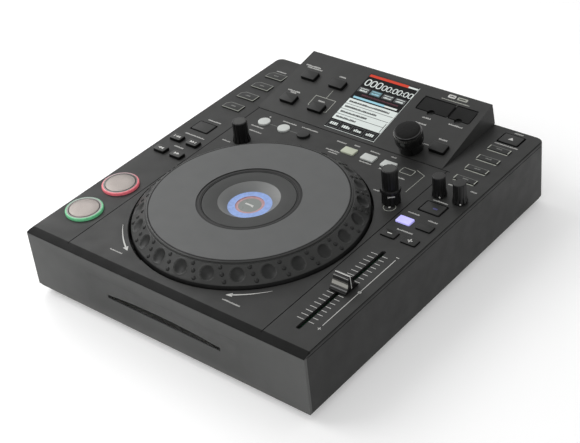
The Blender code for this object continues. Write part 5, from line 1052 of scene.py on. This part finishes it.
def tapered(marks, points, thin, thick):
    """A line that widens evenly from its first point to its last."""
    sides = ([], [])
    for i, point in enumerate(points):
        ahead = Vector(points[min(i + 1, len(points) - 1)]) - Vector(points[max(i - 1, 0)])
        across = Vector((-ahead.y, ahead.x)).normalized()
        half = (thin + (thick - thin) * i / (len(points) - 1)) / 2
        sides[0].append(Vector(point) + across * half)
        sides[1].append(Vector(point) - across * half)
    marks.shape([(p.x, p.y) for p in sides[0] + sides[1][::-1]])


def arrow_head(marks, tip, towards, size):
    """A filled head at a tip, pointing away from a place on its line."""
    tip = Vector(tip)
    back = (Vector(towards) - tip).normalized() * size
    side = Vector((-back.y, back.x)) * 0.42
    points = [tip, tip + back + side, tip + back - side]
    marks.shape([(p.x, p.y) for p in points])


def deck_prints():
    words, white, grey, pale, black = (Marks(DECK_FACE) for _ in range(5))
    for height, first_seed, places in ((LABEL_HEIGHT, 0, LABELS), (FINE_HEIGHT, 60, FINE_LABELS)):
        for seed, (x0, x1, y) in enumerate(places, start=first_seed):
            words.label(x0, x1, y, height, seed)
    words.done("deck_print_labels", LABEL_INK_AND_HIGHLIGHT)
    white.disc(70.1, 267.9, 0.9)
    white.disc(*KNOB_ZERO, 1.1)
    low, high = TICKS_FROM_TO
    for i in range(TICKS):
        y = low + (high - low) * i / (TICKS - 1)
        white.bar(288.9, 296.0, y, 0.55)
        white.bar(300.9, 306.2, y, 0.55)
    white.box(313.2, 313.8, 38.9, 140.5)
    white.disc(313.5, 89.2, 1.6)
    white.bar(311.9, 315.1, 34.6, 0.6)
    white.bar(313.2, 313.8, 34.6, 3.2)
    white.bar(311.6, 314.8, 144.2, 0.6)
    jog = on_deck("jog_ring")
    for start, end in ((219.5, 240.0), (319.0, 299.5)):
        line = arc(*jog, ARROW_REACH, start, end)
        tapered(white, line[:-3], 0.3, 1.5)
        arrow_head(white, line[-1], line[-4], 6.0)
    white.done("deck_print_white", WHITE_INK)
    grey.stroke([on_deck(node) for node in LOOP_KEYS], 0.5)
    grey.done("deck_print_grey", GREY_INK)
    pale.ring(*KNOB_ZERO, 5.7, 0.5)
    pale.stroke([(251.2, 263.5), (262.2, 259.3), (262.2, 228.8)], 0.45)
    key_outline(pale, "hold_key", 0.5, 0.7)
    pale.done("deck_print_pale", PALE_INK)
    for node in SQUARE_KEYS:
        key_outline(black, node, 0.9, 1.3)
    key_outline(black, "eject_key", 0.6, 1.2)
    right, rear = ((COVER_HIGH - COVER_LOW) / MM).xy
    crease = rear - CONSOLE_RUN / MM
    for x in SEAMS:
        black.box(x - 0.4, x + 0.4, PANEL_JOINT, crease)
    black.bar(SEAMS[0], right - CONSOLE_LEFT_INSET / MM, crease - 0.7, 0.6)
    black.box(right - 0.75, right - 0.35, PANEL_JOINT, rear - 8.0)
    slot_x, slot_y = on_deck("pitch_fader")
    slot_y -= FADER_REST_OFFSET
    slot_half = slot_y - FADER_FRONT_MARGIN
    black.stroke(rounded_outline(FADER_SLOT_WIDTH + 0.5, 2 * slot_half + 0.5, 1.3, slot_x, slot_y), 0.5, True)
    # A black crescent on the deck at the left of the jog wheel's well: painted shade of the gap there.
    black.shape(arc(*jog, WELL, 150, 250) + arc(jog[0] - 0.5, jog[1], WELL + 0.7, 250, 150))
    black.done("deck_print_black_and_shade", BLACK_INK_AND_SHADE)


deck_prints()


def flap_outline(node):
    """The line along a flap's sides and front, from its box seen square to the slope."""
    to_face = CONSOLE_FACE.inverted()
    crease = COVER_HIGH.y - CONSOLE_RUN
    slope = CONSOLE_RISE / CONSOLE_RUN
    near, far = (to_face @ Vector((place.x, place.y, DECK + (place.y - crease) * slope)) / MM
                 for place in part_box(node))
    left, right, front = near.x + 0.3, far.x - 0.3, near.y
    rear, cut = far.y - HINGE_CLEARANCE, 1.6
    return [(left, rear), (left, front + cut), (left + cut * 0.3, front + cut * 0.3), (left + cut, front),
            (right - cut, front), (right - cut * 0.3, front + cut * 0.3), (right, front + cut), (right, rear)]


CONSOLE_LABELS = [
    (8.7, 27.7, 73.6), (12.0, 30.8, 71.2), (53.3, 61.5, 71.1), (13.8, 29.4, 34.5), (18.6, 26.5, 32.3),
    (54.4, 62.7, 32.3), (167.0, 176.9, 53.2), (163.7, 177.5, 44.5), (196.2, 211.7, 54.7), (198.8, 208.7, 33.6),
]
HINGE_CLEARANCE = 3.0


def console_prints():
    words, white, grey = (Marks(CONSOLE_FACE) for _ in range(3))
    for seed, (u0, u1, v) in enumerate(CONSOLE_LABELS):
        words.label(u0, u1, v, 1.8, seed)
    words.done("console_print_labels", LABEL_INK_AND_HIGHLIGHT)
    white.bar(188.9, 194.5, 22.2, 0.7)
    white.shape(rounded_outline(8.6, 4.4, 1.4, 178.4, 89.0))
    white.done("console_print_white", WHITE_INK)
    grey.stroke([(50.3, 22.0), (47.4, 24.0), (47.4, 38.0), (72.2, 38.0), (72.2, 21.0), (69.2, 20.0)], 0.6)
    grey.stroke([(60.0, 38.0), (60.0, 50.5)], 0.5)
    grey.shape(rounded_outline(11.6, 4.0, 1.2, 190.6, 88.8))
    grey.label(169.5, 201.5, 83.6, 1.2, 31)
    grey.done("console_print_grey", PALE_INK)
    dark = Marks(CONSOLE_FACE, INK)
    dark.label(175.6, 181.4, 89.2, 1.4, 33)
    dark.label(186.6, 194.6, 88.9, 1.5, 34)
    for node in ("card_flap", "usb_flap"):
        dark.stroke(flap_outline(node), 0.7)
    dark.done("console_print_black", BLACK_INK_AND_SHADE)


console_prints()


# Symbols on keys

marks = on_key("eject_key")
marks.shape([(-2.8, -1.6), (2.8, -1.6), (0, 2.6)])
marks.done("eject_symbol", WHITE_INK, "eject_key")
marks = on_key("jog_mode_key")
marks.bar(0.2, 4.8, -0.5, 2.2)
marks.done("jog_mode_lamp", LAMP_BLUE, "jog_mode_key")


# Screen

def numeral(marks, x, y, width, height):
    """A plain round nought."""
    outline = rounded_outline(width, height, width * 0.48, x + width / 2, y + height / 2, 4)
    marks.stroke(outline, width * 0.25, True)


SCREEN = (82.0, 142.0, 4.6, 87.1)
TIME_GROUPS = ((3, 5.0, 8.4, 6.9), (2, 4.0, 6.6, 5.5), (2, 4.0, 6.6, 5.5), (2, 4.0, 6.6, 5.5))


def screen():
    left, right, low, top = SCREEN
    span = right - left

    def at(share):
        return left + span * share

    white, red, cyan, wine = (Marks(CONSOLE_FACE) for _ in range(4))
    grey, teal = (Marks(CONSOLE_FACE, -INK / 4) for _ in range(2))
    dark = Marks(CONSOLE_FACE, 2 * INK)
    back = Marks(CONSOLE_FACE, -INK / 2)
    back.box(left, right, low, top)
    red.bar(at(0.01), at(0.80), 84.6, 3.4)
    white.bar(at(0.80), at(0.99), 84.4, 2.2)
    x = at(0.045)
    for index, (count, width, height, pitch) in enumerate(TIME_GROUPS):
        for _ in range(count):
            numeral(white, x, 70.4, width, height)
            x += pitch
        if index in (1, 2):
            white.bar(x - 0.1, x + 0.9, 71.0, 1.0)
            white.bar(x - 0.1, x + 0.9, 74.6, 1.0)
            x += 2.0
        elif index == 0:
            x += 0.4
    for i in range(4):
        x0 = at(0.02 + 0.245 * i)
        x1 = x0 + span * 0.21
        box = teal if i == 1 else grey
        box.bar(x0, x1, 63.2, 6.6)
        words = cyan if i == 1 else white
        words.label(x0 + 1.4, x1 - 1.2, 65.0, 1.0, 40 + i)
        words.label(x0 + 2.2, x1 - 1.8, 62.0, 2.0, 50 + i)
    wine.label(at(0.16), at(0.90), 56.6, 1.8, 5)
    cyan.bar(at(0.05), at(0.68), 51.4, 2.6)
    white.bar(at(0.68), at(0.93), 51.4, 2.2)
    white.box(at(0.01), at(0.99), 17.0, 48.4)
    for row, (end, seed) in enumerate(((0.86, 11), (0.70, 12), (0.58, 13), (0.46, 14))):
        dark.label(at(0.05), at(end), 44.4 - 7.8 * row, 2.2, seed)
    for row in range(3):
        dark.bar(at(0.01), at(0.97), 40.5 - 7.8 * row, 0.5)
    dark.bar(at(0.955), at(0.965), 24.0, 13.0)
    for i in range(4):
        x0 = at(0.03 + 0.243 * i)
        x1 = x0 + span * 0.20
        grey.stroke([(x0, 6.6), (x1, 6.6), (x1, 15.0), (x0, 15.0)], 0.5, True)
        white.label(x0 + 1.2, x1 - 0.8, 11.0, 3.6, 20 + i)
    white.stroke([(left, low), (right, low), (right, top)], 0.45)
    for marks, name, paint in (
        (white, "white", SCREEN_WHITE), (red, "red", SCREEN_RED), (cyan, "cyan", SCREEN_CYAN),
        (grey, "grey", SCREEN_GREY), (teal, "teal", SCREEN_TEAL), (wine, "wine", SCREEN_WINE),
        (dark, "dark", SCREEN_DARK), (back, "back", SCREEN_BACK),
    ):
        marks.done(f"screen_{name}_parts", paint)


screen()


# Fader cap

CAP_HALF = (8.7, 9.0)
CAP_RISE = 14.5
CAP_DRAFT = 1.0 / CAP_RISE
CAP_FOOT = 2.4
# Faces that take other paints, counted along the outline from each foot: the foot in rubber, and across the
# middle of each slope a painted highlight band with softer painted highlight at its ends.
CAP_PAINTS = {0: 1, 1: 1, 2: 1, 3: 1, 9: 3, 10: 2, 11: 2, 12: 2, 13: 3}


def fader_cap():
    """A glossy cap with hollowed slopes either side of a ridge with a white line, and a painted highlight band
    across each slope.
    """
    slope = [(-CAP_HALF[1], 0.8), (-CAP_HALF[1], CAP_FOOT - 0.6), (0.4 - CAP_HALF[1], CAP_FOOT - 0.1),
             (1.0 - CAP_HALF[1], CAP_FOOT)]
    for i in range(13):
        share = 1 - i / 12
        slope.append((-2.6 - 5.2 * share, 3.0 + 9.4 * (1 - share) ** 2))
    slope += [(-2.4, 12.9), (-1.3, 13.1), (-0.95, 13.5), (-0.8, CAP_RISE)]
    outline = slope + [(-y, z) for y, z in slope[::-1]]
    bm = bmesh.new()
    sides = [[bm.verts.new((way * (CAP_HALF[0] - CAP_DRAFT * z) * MM, y * MM, z * MM)) for y, z in outline]
             for way in (-1, 1)]
    bm.faces.new(sides[0])
    bm.faces.new(sides[1][::-1])
    count = len(outline)
    for i in range(count):
        j = (i + 1) % count
        face = bm.faces.new((sides[0][i], sides[1][i], sides[1][j], sides[0][j]))
        face.material_index = CAP_PAINTS.get(min(i, count - 2 - i), 0)
    spot = cap_frame("pitch_fader")[0]
    paints = (GLOSS_BLACK, KNOB_RUBBER, CAP_PAINTED_HIGHLIGHT, CAP_PAINTED_SOFT_HIGHLIGHT)
    piece("fader_cap", bm, paints, "pitch_fader", "pitch_fader", place=spot)
    half = CAP_HALF[0] - 1.0
    marks = Marks(spot, CAP_RISE)
    marks.bar(-half, half, 0, 1.0)
    marks.done("fader_line", WHITE_INK, "pitch_fader")
    for way, side in ((-1, "left"), (1, "right")):
        corners = [Vector((way * (CAP_HALF[0] - CAP_DRAFT * z + out), y, z)) * MM
                   for y in (-0.45, 0.45) for z in (2.6, CAP_RISE) for out in (-0.05, 0.05)]
        piece("fader_line_" + side, hull(corners), WHITE_INK, "pitch_fader", place=spot, smooth=False)
    # Thin pale lines along the lower edges of the ridge: painted highlights.
    for number, y in enumerate((-2.55, 2.55), start=1):
        thin = Marks(spot, 12.75)
        thin.bar(-half, half, y, 0.6)
        thin.done(f"fader_edge_painted_highlight_{number}", LABEL_INK_AND_HIGHLIGHT, "pitch_fader")


fader_cap()


# Rear sockets

REAR_WALL = 0.1735
JACK_RISE = 0.0165
JACK_PROFILE = ((0.0044, 0), (0.0062, 0), (0.0062, 0.0008), (0.0058, 0.0012), (0.0044, 0.0012))
JACKS = ((0.0480, SOCKET_WHITE), (0.0650, SOCKET_RED), (0.0900, SOCKET_WHITE))


def sockets():
    """Coloured rings round the audio jacks on the bay's wall."""
    for number, (from_right, paint) in enumerate(JACKS, start=1):
        ring = lathe(JACK_PROFILE, 48, closed=True)
        place = (Matrix.Translation((COVER_HIGH.x - from_right, REAR_WALL, COVER_LOW.z + JACK_RISE))
                 @ Matrix.Rotation(-pi / 2, 4, "X"))
        piece(f"jack_ring_{number}", ring, paint, "body", place=place)


BOARD_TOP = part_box("main_board")[0].z + 0.0018
zone(MAIN_BOARD, (-1, -1, -1), (1, 1, BOARD_TOP), LACQUER)
zone(MAIN_BOARD, (-1, REAR_WALL - 0.002, BOARD_TOP), (1, 1, 1), (0.55, 0.53, 0.47), True)
zone(SUPPLY_BOARD, (-1, -1, -1), (1, 1, BOARD_TOP), LACQUER)
zone(SUPPLY_BOARD, (-1, -1, BOARD_TOP), (1, 0.1400, 1), (0.16, 0.13, 0.06))
INLET_LOW = Vector((-0.0082, -0.0120, -0.0046))
INLET_HIGH = Vector((0.0082, 0.0010, 0.0063))
INLET = Vector((COVER_LOW.x + 0.0730, REAR_WALL, COVER_LOW.z + 0.0245))
zone(SUPPLY_BOARD, INLET + INLET_LOW, INLET + INLET_HIGH, (0.6, 0.58, 0.52), True)
dress("main_board", MAIN_BOARD)
dress("power_supply", SUPPLY_BOARD)
sockets()


# Floor, light and camera

FLOOR_SIZE = 12.0
FLOOR_COLOUR = (0.8, 0.8, 0.8, 1)
FLOOR_GLOW = 0.27
WORLD_LIGHT = 0.57


def seen_directly(tree):
    """1 for the rays of the camera and of mirrored or clear surfaces, else 0."""
    rays = add(tree, "ShaderNodeLightPath").outputs
    mirrored = larger(tree, rays["Is Glossy Ray"], rays["Is Transmission Ray"])
    return larger(tree, rays["Is Camera Ray"], mirrored)


def floor():
    """A white floor that keeps the shadow and fades into the white around it."""
    bm = bmesh.new()
    prism(bm, rectangle(FLOOR_SIZE, FLOOR_SIZE), -0.02, 0.0)
    mesh = as_mesh("floor", bm)
    paint = bpy.data.materials.new("floor_white")
    paint.use_nodes = True
    tree = paint.node_tree
    tree.nodes.clear()
    level = add(tree, "ShaderNodeMath", {0: seen_directly(tree), 1: FLOOR_GLOW}, operation="MULTIPLY")
    glow = add(tree, "ShaderNodeEmission", {"Strength": level.outputs[0]})
    diffuse = add(tree, "ShaderNodeBsdfDiffuse", {"Color": FLOOR_COLOUR})
    total = add(tree, "ShaderNodeAddShader", {0: diffuse.outputs[0], 1: glow.outputs[0]})
    add(tree, "ShaderNodeOutputMaterial", {"Surface": total.outputs[0]})
    mesh.materials.append(paint)
    in_scene("floor", mesh)


def world():
    """White where it is seen, and at a plain level where it lights the model."""
    sky = bpy.data.worlds.new("studio")
    bpy.context.scene.world = sky
    sky.use_nodes = True
    tree = sky.node_tree
    level = ranged(tree, seen_directly(tree), WORLD_LIGHT, 1)
    feed(tree, tree.nodes["Background"], {"Strength": level, "Color": (1, 1, 1, 1)})


def lamp(name, place, target, size, power):
    light = bpy.data.lights.new(name, "AREA")
    light.shape = "DISK"
    light.size = size
    light.energy = power
    item = in_scene(name, light)
    item.location = place
    item.rotation_euler = (Vector(target) - Vector(place)).to_track_quat("-Z", "Y").to_euler()


def camera():
    lens = bpy.data.cameras.new("camera")
    lens.lens = CAMERA_LENS
    lens.sensor_width = CAMERA_SENSOR
    lens.clip_start = 0.05
    lens.clip_end = 50
    item = in_scene("camera", lens)
    back = CAMERA_BACK.normalized()
    right = CAMERA_UP.cross(back).normalized()
    up = back.cross(right)
    item.matrix_world = Matrix.Translation(CAMERA_PLACE) @ Matrix((right, up, back)).transposed().to_4x4()
    bpy.context.scene.camera = item


floor()
world()
lamp("key", (-0.95, -0.6, 1.2), (-0.05, 0, 0.05), 1.1, 9.5)
lamp("left", (-0.75, 0.15, 0.6), (-0.14, -0.08, 0.05), 0.5, 2.6)
lamp("fill", (0.8, -1.7, 1.1), (0, 0, 0.05), 1.8, 8)
lamp("back", (-1.1, 1.15, 1.7), (0, 0, 0.05), 1.3, 3)
camera()
bpy.context.scene.view_settings.view_transform = "Standard"
